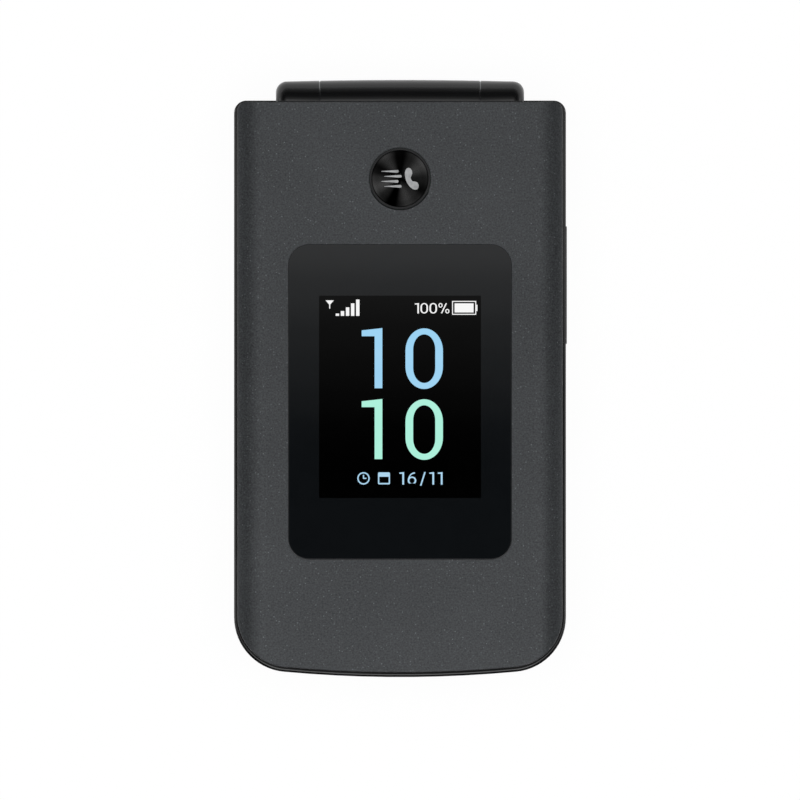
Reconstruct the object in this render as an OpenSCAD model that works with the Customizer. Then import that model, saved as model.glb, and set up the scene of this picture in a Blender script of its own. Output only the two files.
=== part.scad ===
// Folding phone, drawn closed: a keypad half and a display lid joined by a cam hinge.
// Frame: X across the phone, Y from the chin (-) to the hinge (+), Z up out of the lid.
// Z = 0 is the back of the battery cover. Lengths in millimetres.

/* [Overall size] */
// Width of both halves
body_w = 57.5; // [57:0.5:61]
// Length from the chin to the crown of the hinge barrel
body_l = 103.5; // [103:0.5:108]
// Height of the keypad half
base_t = 10.6; // [10.6:0.1:11.4]
// Height of the lid
lid_t = 7.5; // [7.5:0.1:8.5]
// Air between the closed halves, held by the bumpers
fold_gap = 0.4; // [0.35:0.05:0.6]

/* [Outline] */
// Corner radius at the chin
chin_r = 9.5; // [8:0.5:11]
// Radius of the bowed chin edge
chin_bow_r = 220; // [150:10:400]
// Corner radius at the hinge end
shoulder_r = 2.1; // [1:0.1:3]
// Reach of both halves past the hinge axis
shoulder_y = 1.03; // [0.8:0.05:1.3]
// Rounding of the edges round the back
belly_r = 2.6; // [2:0.1:2.8]

/* [Housings] */
// Side wall of the moulded housings
wall = 1.4; // [1.2:0.1:1.6]
// Height of the parting line between keypad cover and rear case
split_h = 7.2; // [7:0.1:7.4]
// Height of the floor of the rear case over the battery cover
tub_t = 0.8; // [0.6:0.1:0.9]
// Fit between fixed pieces
gap = 0.1; // [0.05:0.01:0.12]
// Fit between a component and the piece that holds it
seat = 0.05; // [0.02:0.01:0.06]
// Distance from the hinge axis to the hollow of both halves
hollow_end = 6.15; // [6:0.05:7]
// Radius of the screw posts in the base
post_r = 1.7; // [1.6:0.05:1.8]

/* [Keypad] */
// Depth of the keypad panel below the rim
panel_sink = 0.5; // [0.3:0.05:0.6]
// Thickness of the keypad panel
panel_t = 1.1; // [0.9:0.05:1.2]
// Rim between the sunk panel and the sides
side_rim = 4.25; // [4:0.05:4.4]
// Rim between the sunk panel and the chin
chin_rim = 4.15; // [4:0.05:4.4]
// Distance from the hinge axis to the panel
panel_end = 14.65; // [14.2:0.05:15.5]
// Corner radius of the sunk panel
panel_r = 5; // [4:0.5:6]
// Margin between the keys and the edge of the panel
key_margin = 1.2; // [1.15:0.05:1.5]
// Web of the panel between two key columns
col_web = 2; // [1.9:0.05:2.4]
// Web of the panel between two key rows
row_web = 2.2; // [2:0.05:2.6]
// Corner radius of a key
key_r = 2.2; // [1:0.1:3]
// Crown radius across a key
key_crown_r = 90; // [60:5:200]
// Air round each key in the panel
key_gap = 0.35; // [0.25:0.01:0.4]
// Lip that keeps a key under the panel
key_lip = 0.4; // [0.3:0.02:0.42]
// Thickness of the lip
key_lip_t = 0.5; // [0.4:0.05:0.55]
// Travel of a key
key_travel = 0.25; // [0.2:0.01:0.25]
// Radius of the nub under a key
nub_r = 1.3; // [1:0.1:1.5]

/* [Navigation] */
// Margin between the navigation ring and the hinge end of the panel
nav_margin = 3.1; // [3:0.05:4]
// Web between the ring and the key row under it
nav_web = 3.4; // [3.2:0.05:4]
// Depth of the ring
nav_h = 21.6; // [20.5:0.1:22]
// Corner radius of the ring
nav_r = 8; // [6:0.5:10]
// Radius of the middle key
ok_r = 5.15; // [4.8:0.05:5.2]
// Width of a soft key
soft_w = 8.8; // [8:0.1:9]
// Depth of a soft key
soft_h = 17; // [14:0.5:18]
// Margin between the soft keys and the sides of the panel
soft_margin = 0.9; // [0.85:0.05:1.2]
// Web between a soft key and the ring
soft_web = 2.8; // [2.6:0.1:3.4]

/* [Hinge] */
// Largest radius of the hinge barrel
barrel_r = 4.6; // [4.5:0.05:4.7]
// Half length of the lid's middle barrel
barrel_hl = 13.85; // [13.5:0.05:14.2]
// Distance of the side knuckles' outer ends from the sides
knuckle_in = 7.25; // [6.75:0.05:7.75]
// Radius of the crown along the barrel
crown_r = 750; // [600:10:2000]
// Corner radius at the outer ends
knuckle_r = 1.9; // [1:0.1:2.2]
// Slit between barrel and knuckle
hinge_slit = 0.18; // [0.15:0.01:0.3]
// Air round the turning barrels
hinge_air = 0.3; // [0.25:0.01:0.4]
// Angle to which the lid opens
open_angle = 160; // [155:1:165]
// Bore through the middle barrel
bore_r = 3; // [2.9:0.05:3.1]
// Radius of the hinge shaft
shaft_r = 1.2; // [1:0.05:1.3]
// Running fit of the hinge's turning pieces, on the radius
run_fit = 0.05; // [0.03:0.01:0.08]
// Wall of the cartridge sleeve and of the hollow pin
tube_wall = 0.4; // [0.35:0.05:0.5]

/* [Lid] */
// Height of the inner cover, up to the lid's parting line
frame_h = 3.5; // [3.5:0.1:3.8]
// Ledge of the inner cover that shows round the outer cover
reveal = 0.6; // [0.4:0.05:0.8]
// Extra ledge at the chin
chin_reveal = 0.3; // [0.1:0.05:0.5]
// Floor of the inner cover, under the inner lens
lid_floor = 1.4; // [1.3:0.05:1.5]
// Roof of the outer cover
lid_roof = 1.3; // [1.2:0.05:1.4]
// Width of the strip along both sides where the face rolls over
face_edge = 5.75; // [4.75:0.25:7.75]
// Radius that rolls the face over to the sides
face_r = 9; // [8:0.5:14]

/* [Outer face] */
// Distance of the quick-call button's centre from the hinge axis
call_end = 12.55; // [12.35:0.05:12.9]
// Distance between the outer lens and the sides
lens_side = 9.45; // [9.25:0.05:10.5]
// Distance between the outer lens and the chin
lens_chin = 20.44; // [20:0.01:22]
// Distance between the outer lens and the button's centre
lens_call = 11.41; // [11.2:0.01:12.5]
// Corner radius of the outer lens
lens_r = 3.6; // [2:0.1:5]
// Thickness of both lenses
lens_t = 0.75; // [0.6:0.05:0.8]
// Margin of the lens beside the outer display's picture
screen_side = 5.285; // [4.8:0.005:6]
// Margin of the lens on the chin side of the picture
screen_low = 10.6; // [10:0.01:11.5]
// Margin of the lens on the hinge side of the picture
screen_high = 8.86; // [8.5:0.01:9.8]
// Outer radius of the ring round it
ring_r = 5.34; // [5.2:0.01:5.5]
// Width of that ring
ring_wall = 0.41; // [0.35:0.01:0.5]
// Height of the ring above the face
ring_proud = 0.1; // [0.05:0.01:0.2]

/* [Inner face] */
// Distance between the inner lens and the sides
glass_side = 3.75; // [3.65:0.05:4.25]
// Distance between the inner lens and the chin
glass_chin = 7.55; // [7.5:0.05:8]
// Distance between the inner lens and the hinge axis
glass_end = 13.35; // [13.3:0.05:14.5]
// Corner radius of the inner lens
glass_r = 3; // [2:0.1:5]
// Margin of the lens beside the inner display's picture
picture_side = 3.4; // [3:0.05:4]
// Margin of the lens on the chin side of the picture
picture_low = 9.5; // [9.3:0.05:10.5]
// Margin of the lens on the hinge side of the picture
picture_high = 10.9; // [10.5:0.05:12]
// Thickness of the inner display
panel_lcd_t = 2; // [1.8:0.05:2]

/* [Components] */
// Distance between the battery and the sides
battery_side = 6.75; // [6.65:0.05:7.5]
// Distance between the battery and the chin
battery_chin = 8.55; // [8.45:0.05:9]
// Distance between the battery and the hinge axis
battery_end = 38.95; // [38.9:0.05:40]
// Thickness of the battery
battery_t = 4.6; // [4.4:0.05:4.65]
// Thickness of the battery cover
cover_t = 1; // [0.9:0.05:1.1]
// Thickness of the main board
board_t = 0.8; // [0.6:0.05:0.8]
// Distance between the main board and the sides
board_side = 6.35; // [6.15:0.05:6.75]
// Thickness of the dome sheet
dome_t = 0.2; // [0.15:0.01:0.2]
// Headset jack: bore radius, depth of the bore, height and width of its body
jack_bore_r = 1.8; // [1.77:0.01:1.85]
jack_depth = 14; // [13.5:0.1:14.5]
jack_h = 4.4; // [4.3:0.05:4.5]
jack_w = 6; // [5.5:0.1:6.5]
// Distance from the hinge axis to the jack
jack_end = 28.15; // [27.65:0.05:28.65]
// USB-C shell: width, height and length
usb_w = 8.94; // [8.9:0.01:9]
usb_h = 3.16; // [3.1:0.01:3.2]
usb_l = 7.3; // [7:0.1:7.4]
// Volume rocker: length, height, reach past the side
rocker_l = 20.4; // [18:0.1:21]
rocker_h = 2.4; // [2:0.1:2.6]
rocker_proud = 0.2; // [0.1:0.01:0.3]
// Distance from the hinge axis to the middle of the rocker
rocker_end = 30.95; // [30.2:0.05:31.7]
// Camera window: width, depth, and distance of its centre from the hinge axis
window_w = 17; // [16:0.1:17.5]
window_h = 8; // [7.5:0.1:8.4]
window_end = 13.75; // [13.35:0.05:14.15]
// Loudspeaker: width, length and thickness
speaker_w = 13.6; // [13:0.1:14]
speaker_l = 10; // [9:0.1:10.4]
speaker_t = 3.35; // [3:0.05:3.4]
// Radius and thickness of the vibration motor
motor_r = 5; // [4.5:0.1:5.2]
motor_t = 2.7; // [2.4:0.1:3]
// Side and thickness of the camera
camera_w = 8.5; // [8:0.1:8.6]
// SIM and memory card socket: width and depth
sim_w = 16; // [15:0.1:16.2]
sim_d = 14; // [13.5:0.1:14.2]
// Width and height of the shield can beside it
can_w = 8.6; // [8:0.1:8.8]
can_t = 2; // [1.8:0.1:2.1]

/* [Hidden] */

$fn = 48;
fine = 360;    // facets of the large gentle arcs
big = 200;     // longer than the phone, for cutting solids

hw = body_w / 2;
chin_y = -body_l / 2;
hinge_y = body_l / 2 - barrel_r;
hinge_z = base_t + fold_gap / 2;
end_y = hinge_y + shoulder_y;
lid_z = base_t + fold_gap;
top_z = lid_z + lid_t;
part_z = lid_z + frame_h;
hollow_y = hinge_y - hollow_end;

// Panel and key places, spread between the chin rim and the hinge
panel_hw = hw - side_rim;
panel_low = chin_y + chin_rim;
panel_high = hinge_y - panel_end;
nav_y = panel_high - nav_margin - nav_h / 2;
soft_x = panel_hw - soft_margin - soft_w / 2;
nav_w = 2 * (soft_x - soft_w / 2 - soft_web);
key_w = (2 * (panel_hw - key_margin) - 2 * col_web) / 3;
key_h = (nav_y - nav_h / 2 - nav_web - panel_low - key_margin - 4 * row_web) / 5;
col_pitch = key_w + col_web;
row_pitch = key_h + row_web;
first_row_y = panel_low + key_margin + key_h / 2;
knuckle_x = hw - knuckle_in;

// Outer lens, its picture and the button
face_hw = hw - face_edge;
call_y = hinge_y - call_end;
lens_w = body_w - 2 * lens_side;
lens_l = call_y - lens_call - chin_y - lens_chin;
lens_y = chin_y + lens_chin + lens_l / 2;
screen_w = lens_w - 2 * screen_side;
screen_l = lens_l - screen_low - screen_high;
screen_y = lens_y + (screen_low - screen_high) / 2;

// Inner lens and its picture
glass_w = body_w - 2 * glass_side;
glass_l = hinge_y - glass_end - chin_y - glass_chin;
glass_y = chin_y + glass_chin + glass_l / 2;
picture_w = glass_w - 2 * picture_side;
picture_l = glass_l - picture_low - picture_high;
picture_y = glass_y + (picture_low - picture_high) / 2;
receiver_y = glass_y - glass_l / 2 - 2.7;

// Components of the base
battery_w = body_w - 2 * battery_side;
battery_low = chin_y + battery_chin;
battery_l = hinge_y - battery_end - battery_low;
board_hw = hw - board_side;
board_low = chin_y + 2.55;
jack_y = hinge_y - jack_end;
rocker_y = hinge_y - rocker_end;
window_y = hinge_y - window_end;
speaker_x = hw - 12.25;
speaker_y = window_y;

// Centres of the chin corners, on circles that touch the sides and the bowed edge
bow_y = chin_y + chin_bow_r;
corner_x = hw - chin_r;
corner_y = bow_y - sqrt(pow(chin_bow_r - chin_r, 2) - pow(corner_x, 2));
corner_dir = [corner_x, corner_y - bow_y] / (chin_bow_r - chin_r);

// Levels of the base, from the rim down to the board
panel_z = base_t - panel_sink;
under_z = panel_z - panel_t;
key_top = base_t - 0.05;
lip_top = under_z - 0.2;
lip_z = lip_top - key_lip_t;
nub_z = lip_z - 0.3;
dome_z = nub_z - key_travel - 0.05;
board_top = dome_z - dome_t;
board_z = board_top - board_t;
skirt_h = belly_r;
tub_z = cover_t + gap;
tub_top = tub_z + tub_t;
battery_z = cover_t + gap;
floor_z = battery_z + battery_t + seat;
floor_t = 0.45;

// Levels of the lid, from the inner face up
glass_z = lid_z + 0.1;
ledge_z = glass_z + lens_t + seat;
floor_top = lid_z + lid_floor;
lcd_z = floor_top + seat;
chassis_z = lcd_z + panel_lcd_t + seat;
chassis_t = 0.3;
lid_board_z = chassis_z + chassis_t + seat;
lid_board_t = 0.6;
screen_z = lid_board_z + lid_board_t + seat;
roof_z = top_z - lid_roof;
lens_z = top_z - 0.1 - lens_t;
screen_t = roof_z - screen_z - 0.15;

// ---- Shapes that several pieces share ----

// Outline of the phone from above, taken in by an inset; arcs are true circles
module plan(inset = 0, bow_fn = 720) {
    w = hw - inset;
    top = end_y - inset;
    r = max(shoulder_r - inset, 0.3);
    reach = chin_r + 6;
    translate([-w, corner_y]) square([2 * w, top - r - corner_y]);
    translate([r - w, corner_y]) square([2 * (w - r), top - corner_y]);
    for (s = [-1, 1]) {
        translate([s * (w - r), top - r]) circle(r);
        translate([s * corner_x, corner_y]) circle(chin_r - inset);
    }
    intersection() {
        translate([0, bow_y]) circle(chin_bow_r - inset, $fn = bow_fn);
        polygon([
            [corner_x, corner_y],
            [corner_x, corner_y] + corner_dir * reach,
            [-corner_x - corner_dir[0] * reach, corner_y + corner_dir[1] * reach],
            [-corner_x, corner_y]
        ]);
    }
}

// The outline as a plate between two levels
module plate(z0, z1, inset = 0) {
    translate([0, 0, z0]) linear_extrude(z1 - z0) plan(inset);
}

// Rounded rectangle centred on a point; the largest radius makes its ends round
module pad(w, h, r = big) {
    q = min(r, w / 2 - 0.01, h / 2 - 0.01);
    square([w, h - 2 * q], center = true);
    square([w - 2 * q, h], center = true);
    for (x = [-1, 1], y = [-1, 1]) translate([x * (w / 2 - q), y * (h / 2 - q)]) circle(q);
}

// Rounded block between two levels
module slab(x, y, w, h, r, z0, z1) {
    translate([x, y, z0]) linear_extrude(z1 - z0) pad(w, h, r);
}

// Square block between two levels
module block(x0, x1, y0, y1, z0, z1) {
    translate([x0, y0, z0]) cube([x1 - x0, y1 - y0, z1 - z0]);
}

// Round post between two levels
module post(x, y, r, z0, z1) {
    translate([x, y, z0]) cylinder(r = r, h = z1 - z0);
}

// Cylinder on the hinge axis
module axle(r, x0, x1, sides = 64) {
    translate([x0, hinge_y, hinge_z]) rotate([0, 90, 0]) cylinder(r = r, h = x1 - x0, $fn = sides);
}

// Everything short of a line across the phone
module short_of(y) {
    translate([-big / 2, y - big, -big / 2]) cube(big);
}

// Radius of the crowned barrel at a distance from the middle
function crown(x) = barrel_r - crown_r + sqrt(crown_r * crown_r - x * x);

// Half section of the crowned barrel between two distances from the middle
module barrel_section(x0, x1) {
    intersection() {
        translate([0, x0]) square([barrel_r + 1, x1 - x0]);
        translate([barrel_r - crown_r, 0]) circle(crown_r, $fn = 2400);
    }
}

// A half section turned round the hinge axis
module turned() {
    translate([0, hinge_y, hinge_z]) rotate([0, 90, 0]) rotate_extrude($fn = 96) children();
}

// Side knuckle: a crowned barrel with a rounded outer end
module knuckle() {
    x1 = knuckle_x - knuckle_r;
    r1 = crown(x1) - knuckle_r;
    turned() {
        barrel_section(barrel_hl + hinge_slit, x1);
        translate([0, barrel_hl + hinge_slit]) square([r1, knuckle_x - barrel_hl - hinge_slit]);
        intersection() {
            translate([r1, x1]) circle(knuckle_r);
            translate([0, x1]) square([barrel_r, knuckle_r]);
        }
    }
}

// Back of the base with its rounded edges
module belly() {
    hull() for (a = [0 : 18 : 90]) translate([0, 0, belly_r * (1 - cos(a))])
        linear_extrude(0.01) plan(belly_r * (1 - sin(a)), fine, $fn = 32);
}

// Places of the screws
base_screw_x = hw - wall - post_r + 0.05;
base_screw_y = [chin_y + 12.75, panel_high - 1];
lid_screw_x = hw - 6.25;
lid_screw_y = [glass_y - glass_l / 2 - 2, glass_y + glass_l / 2 + 3.4];
module at_base_screws() for (x = [-1, 1], y = base_screw_y) translate([x * base_screw_x, y]) children();
module at_lid_screws() for (x = [-1, 1], y = lid_screw_y) translate([x * lid_screw_x, y]) children();

// ---- Keys ----

// Places of the twelve number keys, row by row from the hinge side
function key_x(i) = (i % 3 - 1) * col_pitch;
function key_y(i) = first_row_y + (3 - floor(i / 3)) * row_pitch;
function_row_y = first_row_y + 4 * row_pitch;
soft_y = nav_y;

// Crowned cap of a key, standing on its lip and its nub
module key(x, y, w = key_w, h = key_h, r = key_r) {
    lip = key_gap + key_lip;
    post(x, y, nub_r, nub_z, lip_z);
    slab(x, y, w + 2 * lip, h + 2 * lip, r + lip, lip_z, lip_top);
    intersection() {
        slab(x, y, w, h, r, lip_top, key_top);
        translate([x, y, key_top - key_crown_r]) rotate([90, 0, 0])
            cylinder(r = key_crown_r, h = h + 2, center = true, $fn = fine);
    }
}
module number_key(i) color([0.09, 0.09, 0.1]) key(key_x(i), key_y(i));

module call_key() color([0.1, 0.1, 0.11]) key(-col_pitch, function_row_y);
module clear_key() color([0.1, 0.1, 0.11]) key(0, function_row_y);
module end_key() color([0.1, 0.1, 0.11]) key(col_pitch, function_row_y);
module soft_key_left() color([0.1, 0.1, 0.11]) key(-soft_x, soft_y, soft_w, soft_h);
module soft_key_right() color([0.1, 0.1, 0.11]) key(soft_x, soft_y, soft_w, soft_h);

// Levels of the four-way rocker: pad, ring and the air that its tilt needs
ring_top = key_top - 0.05;
ring_lip_z = lip_z + 0.05;
ring_lip_t = 0.25;
ring_hollow = 0.4;    // depth of the ring's hollow for the middle key's flange
rock_air = 0.25;
rock_r = 7.9;

// Middle key, held by a flange in the hollow of the ring
module ok_key() {
    flange_z = nub_z + 0.05;
    color([0.14, 0.14, 0.15]) {
        post(0, nav_y, nub_r, nub_z, flange_z);
        post(0, nav_y, ok_r + key_gap + 0.5, flange_z, flange_z + 0.45);
        intersection() {
            post(0, nav_y, ok_r, flange_z + 0.45, key_top);
            translate([0, nav_y, key_top - key_crown_r]) sphere(key_crown_r, $fn = fine);
        }
    }
}

// Four-way ring: a rounded frame with a lip, hollowed underneath for the middle key's flange
module nav_ring() {
    lip = key_gap + key_lip;
    color([0.2, 0.2, 0.21]) difference() {
        union() {
            slab(0, nav_y, nav_w + 2 * lip, nav_h + 2 * lip, nav_r + lip, ring_lip_z, ring_lip_z + ring_lip_t);
            slab(0, nav_y, nav_w, nav_h, nav_r, ring_lip_z, ring_top);
        }
        post(0, nav_y, ok_r + key_gap + 0.1, ring_lip_z - 1, ring_top + 1);
        post(0, nav_y, ok_r + key_gap + 1.1, ring_lip_z - 1, ring_lip_z + ring_hollow);
    }
}

// Silicone rocker under the ring: nubs left and right rest on the domes, nubs above and below carry the ring
module nav_pad() {
    pad_z = nub_z - 0.05;
    pad_top = ring_lip_z - rock_air;
    color([0.6, 0.6, 0.58]) {
        difference() {
            post(0, nav_y, rock_r + 1, pad_z, pad_top);
            post(0, nav_y, rock_r - 1, pad_z - 1, pad_top + 1);
        }
        for (s = [-1, 1]) {
            post(s * rock_r, nav_y, 0.6, dome_z + 0.02, pad_z);
            post(0, nav_y + s * rock_r, 0.6, pad_top, ring_lip_z - 0.02);
        }
    }
}

// Every key opening in the panel
module key_openings() {
    module opening(x, y, w, h, r) translate([x, y]) pad(w + 2 * key_gap, h + 2 * key_gap, r + key_gap);
    for (i = [0 : 11]) opening(key_x(i), key_y(i), key_w, key_h, key_r);
    for (i = [-1 : 1]) opening(i * col_pitch, function_row_y, key_w, key_h, key_r);
    for (s = [-1, 1]) opening(s * soft_x, soft_y, soft_w, soft_h, key_r);
    opening(0, nav_y, nav_w, nav_h, nav_r);
}

// ---- Base housings ----

// Volume rocker's place: its slot runs through the right wall of the rear case
rocker_z = (skirt_h + split_h) / 2;
rocker_lip = 0.8;

module keypad_cover() {
    color([0.17, 0.17, 0.18]) difference() {
        union() {
            difference() {
                plate(split_h, base_t);
                intersection() {
                    plate(split_h - 1, under_z, wall);
                    short_of(hollow_y);
                }
            }
            at_base_screws() post(0, 0, post_r - 0.4, split_h, under_z + 0.1);
            knuckle();
            mirror([1, 0, 0]) knuckle();
        }
        translate([0, 0, panel_z]) linear_extrude(panel_sink + 1)
            translate([0, (panel_low + panel_high) / 2]) pad(2 * panel_hw, panel_high - panel_low, panel_r);
        translate([0, 0, under_z - 0.5]) linear_extrude(panel_t + 1) key_openings();
        // Relief round the middle barrel, hexagonal seat of the shaft, bore of the hollow pin
        axle(barrel_r + hinge_air, -barrel_hl - hinge_slit, barrel_hl + hinge_slit);
        axle(shaft_hex_r + seat, -knuckle_x + 1.2, -barrel_hl, 6);
        axle(pin_r + seat / 2, barrel_hl, knuckle_x - 0.9);
        // Way of the flex cable from the knuckle down to the board
        flex_tail(0.25);
        at_base_screws() post(0, 0, 0.7 + seat / 2, split_h - 1, under_z - 0.2);
        // Microphone hole in the chin rim
        post(0, panel_low - 2, 0.5, under_z - 2, base_t + 1);
    }
}

module rear_case() {
    bay_x = battery_w / 2 + 0.2;
    bay_low = battery_low - 0.2;
    bay_high = battery_low + battery_l + 0.2;
    bay_wall = 1.2;
    color([0.12, 0.12, 0.13]) difference() {
        union() {
            plate(skirt_h + gap, split_h);
            plate(tub_z, skirt_h + gap, cover_t + gap);
            difference() {
                belly();
                short_of(cover_end + gap);
            }
        }
        // Hollow round the battery bay and under the board, with the screw posts left standing
        difference() {
            intersection() {
                union() {
                    plate(tub_top, split_h + 1, cover_t + gap + wall);
                    plate(skirt_h + gap + 0.2, split_h + 1, wall);
                }
                short_of(hollow_y);
            }
            block(-bay_x - bay_wall, bay_x + bay_wall, bay_low - bay_wall, bay_high + bay_wall, 0, floor_z + floor_t);
            at_base_screws() post(0, 0, post_r, 0, split_h);
            // Rests of the main board
            for (x = [-1, 1], y = [bay_low + 3, (bay_low + bay_high) / 2 - 0.9, bay_high - 3])
                post(x * (bay_x - 2), y, 1, floor_z + floor_t - 0.1, board_z);
        }
        block(-bay_x, bay_x, bay_low, bay_high, -1, floor_z);
        // Seats of the barrel and the knuckles
        axle(barrel_r + hinge_air, -barrel_hl - hinge_slit, barrel_hl + hinge_slit);
        axle(barrel_r + gap, -knuckle_x - gap, knuckle_x + gap);
        // Screw holes with their counterbores
        at_base_screws() {
            post(0, 0, 0.7 + seat, 0, split_h + 1);
            post(0, 0, 1.3, 0, 3.1);
        }
        // Openings: contacts, SIM slot, camera, sound, USB socket, jack, rocker
        block(-5.1, 5.1, bay_high - 1, bay_high + bay_wall + 1, 2.2, floor_z);
        slab(sim_x, sim_y, sim_w + 1, sim_d - 1, 1, 0, tub_top + 1);
        for (x = [-4, 5]) post(x, window_y, x < 0 ? 2.9 : 1.6, 0, tub_top + 1);
        grille(0, tub_top + 1);
        usb_hole(usb_w + 0.3, usb_h + 0.3, chin_y - 1, chin_y + usb_l + 1.4);
        translate([-hw - 1, jack_y, jack_z]) rotate([0, 90, 0]) cylinder(r = jack_bore_r + gap, h = wall + 2);
        block(jack_x, jack_x + 3, jack_y - jack_w / 2 - gap, jack_y + jack_w / 2 + gap,
            jack_z - jack_h / 2 - gap, split_h + 1);
        block(hw - wall - 0.6, hw + 1, rocker_y - rocker_l / 2 - 0.3, rocker_y + rocker_l / 2 + 0.3,
            rocker_z - rocker_h / 2 - 0.3, rocker_z + rocker_h / 2 + 0.3);
    }
}

// End of the battery cover, just short of the slope under the hinge
cover_end = end_y - 6.2;

module battery_cover() {
    color([0.13, 0.13, 0.14]) difference() {
        intersection() {
            belly();
            short_of(cover_end);
            block(-hw - 1, hw + 1, chin_y - 1, end_y + 1, 0, skirt_h);
        }
        plate(cover_t, skirt_h + 1, cover_t);
        slab(0, window_y, window_w + 0.6, window_h + 0.6, big, -1, cover_t + 1);
        grille(-1, cover_t + 1);
        // Thumbnail notch at the chin
        translate([0, chin_y - 0.3, skirt_h + 1.4]) rotate([90, 0, 0])
            cylinder(r = 2.4, h = 3, center = true);
    }
}

// Slots of the loudspeaker, in the rear case and in the cover
module grille(z0, z1) {
    for (i = [-2 : 2]) slab(speaker_x + i * 2.2, speaker_y, 1, 6, big, z0, z1);
}

module battery() {
    color([0.2, 0.21, 0.24]) difference() {
        slab(0, battery_low + battery_l / 2, battery_w, battery_l, 1.5, battery_z, battery_z + battery_t);
        // Recess of the battery's contacts
        block(-4.6, 4.6, battery_low + battery_l - 0.4, battery_low + battery_l + 1, 2.6, 5);
    }
}

// ---- Electronics of the base ----

contacts_y = battery_low + battery_l + 0.25;
contacts_d = 2.6;
can_x = hw - 11.45;
can_low = battery_low + battery_l + 1.5;
can_high = speaker_y - speaker_l / 2 - 3.7;
sim_x = can_x - can_w / 2 - 0.5 - sim_w / 2;
sim_y = contacts_y + contacts_d + 0.4 + sim_d / 2;

module main_board() {
    color([0.05, 0.3, 0.16]) {
        difference() {
            block(-board_hw, board_hw, board_low, hollow_y - 0.3, board_z, board_top);
            // Corners cut back from the chin
            for (s = [-1, 1]) translate([s * board_hw, board_low]) rotate(45)
                cube([7, 7, 40], center = true);
        }
        // Sockets for the hinge flex and the lid
        block(8, 13.6, hollow_y - 4.2, hollow_y - 1.6, board_top, board_top + 0.6);
    }
}

module shield_cans() {
    color([0.75, 0.76, 0.77]) {
        slab(can_x, (can_low + can_high) / 2, can_w, can_high - can_low, 0.6, board_z - can_t, board_z);
        slab(-9, hollow_y - 3.6, 20, 6, 0.6, board_top, board_top + 1.1);
    }
}

// Polyester sheet with the snap domes, over the board's keypad side
module dome_sheet() {
    low = first_row_y - key_h / 2;
    high = nav_y + nav_h / 2 + 1.4;
    color([0.8, 0.8, 0.82]) slab(0, (low + high) / 2, 2 * (board_hw - 0.5), high - low, 2,
        board_top, board_top + dome_t);
}

module camera_module() {
    color([0.07, 0.07, 0.08]) {
        slab(-4, window_y, camera_w, camera_w, 0.8, tub_top + seat, board_z - 1.3);
        post(-4, window_y, 2.7, tub_z + seat, tub_top + seat);
        block(3.7, 6.3, window_y - 1.3, window_y + 1.3, tub_top + seat, tub_top + 0.9);
        post(5, window_y, 1.4, tub_z + seat, tub_top + seat);
    }
}

module camera_window() {
    color([0.05, 0.05, 0.06]) slab(0, window_y, window_w, window_h, big, 0.25, tub_z);
}

module loudspeaker() {
    color([0.16, 0.16, 0.17]) slab(speaker_x, speaker_y, speaker_w, speaker_l, 1.2,
        tub_top + seat, tub_top + seat + speaker_t);
}

module vibration_motor() {
    color([0.78, 0.78, 0.8]) post(-speaker_x, window_y - 2.4, motor_r,
        board_z - motor_t, board_z);
}

// Rounded slot of the USB socket along Y
usb_z = board_z - usb_h / 2;
module usb_hole(w, h, y0, y1) {
    translate([0, y1, usb_z]) rotate([90, 0, 0]) linear_extrude(y1 - y0) pad(w, h);
}

module usb_port() {
    mouth = chin_y + 0.25;
    color([0.72, 0.73, 0.75]) {
        difference() {
            usb_hole(usb_w, usb_h, mouth, mouth + usb_l);
            usb_hole(usb_w - 0.6, usb_h - 0.6, mouth - 1, mouth + usb_l - 1);
        }
        // Tongue with the contacts
        block(-3.35, 3.35, mouth + 1.2, mouth + usb_l - 0.5, usb_z - 0.35, usb_z + 0.35);
    }
}

// 3.5 mm jack: a plastic block behind the left wall
jack_z = board_z - jack_h / 2;
jack_x = wall - hw;
module headset_jack() {
    color([0.06, 0.06, 0.07]) difference() {
        block(jack_x + gap, jack_x + gap + jack_depth + 0.8, jack_y - jack_w / 2, jack_y + jack_w / 2,
            jack_z - jack_h / 2, jack_z + jack_h / 2);
        translate([jack_x - 1, jack_y, jack_z]) rotate([0, 90, 0])
            cylinder(r = jack_bore_r, h = jack_depth + gap + 1);
    }
}

module sim_slot() {
    color([0.7, 0.71, 0.72]) difference() {
        slab(sim_x, sim_y, sim_w, sim_d, 0.5, board_z - 1.5, board_z);
        block(sim_x - sim_w / 2 + 1, sim_x + sim_w / 2 - 1, sim_y - sim_d, sim_y + sim_d / 2 - 1,
            board_z - 1.3, board_z - 0.4);
    }
}

module battery_contacts() {
    step_y = contacts_y + 1.3;
    color([0.1, 0.1, 0.1]) {
        block(-5, 5, contacts_y, step_y, 2.4, floor_z - seat);
        block(-5, 5, step_y, contacts_y + contacts_d, 2.4, board_z);
    }
    color([0.85, 0.65, 0.25]) for (x = [-3.3 : 2.2 : 3.3])
        block(x - 0.4, x + 0.4, contacts_y - 0.5, contacts_y + 0.1, 3.2, 4.4);
}

module base_screws() {
    color([0.6, 0.6, 0.62]) at_base_screws() difference() {
        union() {
            post(0, 0, 1.2, 2.15, 3.1);
            post(0, 0, 0.7, 3.1, under_z - 0.4);
        }
        translate([0, 0, 1.6]) cylinder(r = 0.55, h = 1, $fn = 6);
    }
}

// Volume rocker: bar in the side wall with a lip behind it, on a post in the middle
module volume_rocker() {
    x1 = hw + rocker_proud;
    x0 = hw - wall - 0.6;
    color([0.11, 0.11, 0.12]) {
        translate([x0, rocker_y, rocker_z]) rotate([90, 0, 90]) linear_extrude(x1 - x0)
            pad(rocker_l, rocker_h);
        block(x0 - 0.7, x0, rocker_y - rocker_l / 2 - rocker_lip, rocker_y + rocker_l / 2 + rocker_lip,
            rocker_z - rocker_h / 2 - 0.4, rocker_z + rocker_h / 2 + 0.4);
    }
}

// ---- Hinge ----

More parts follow.
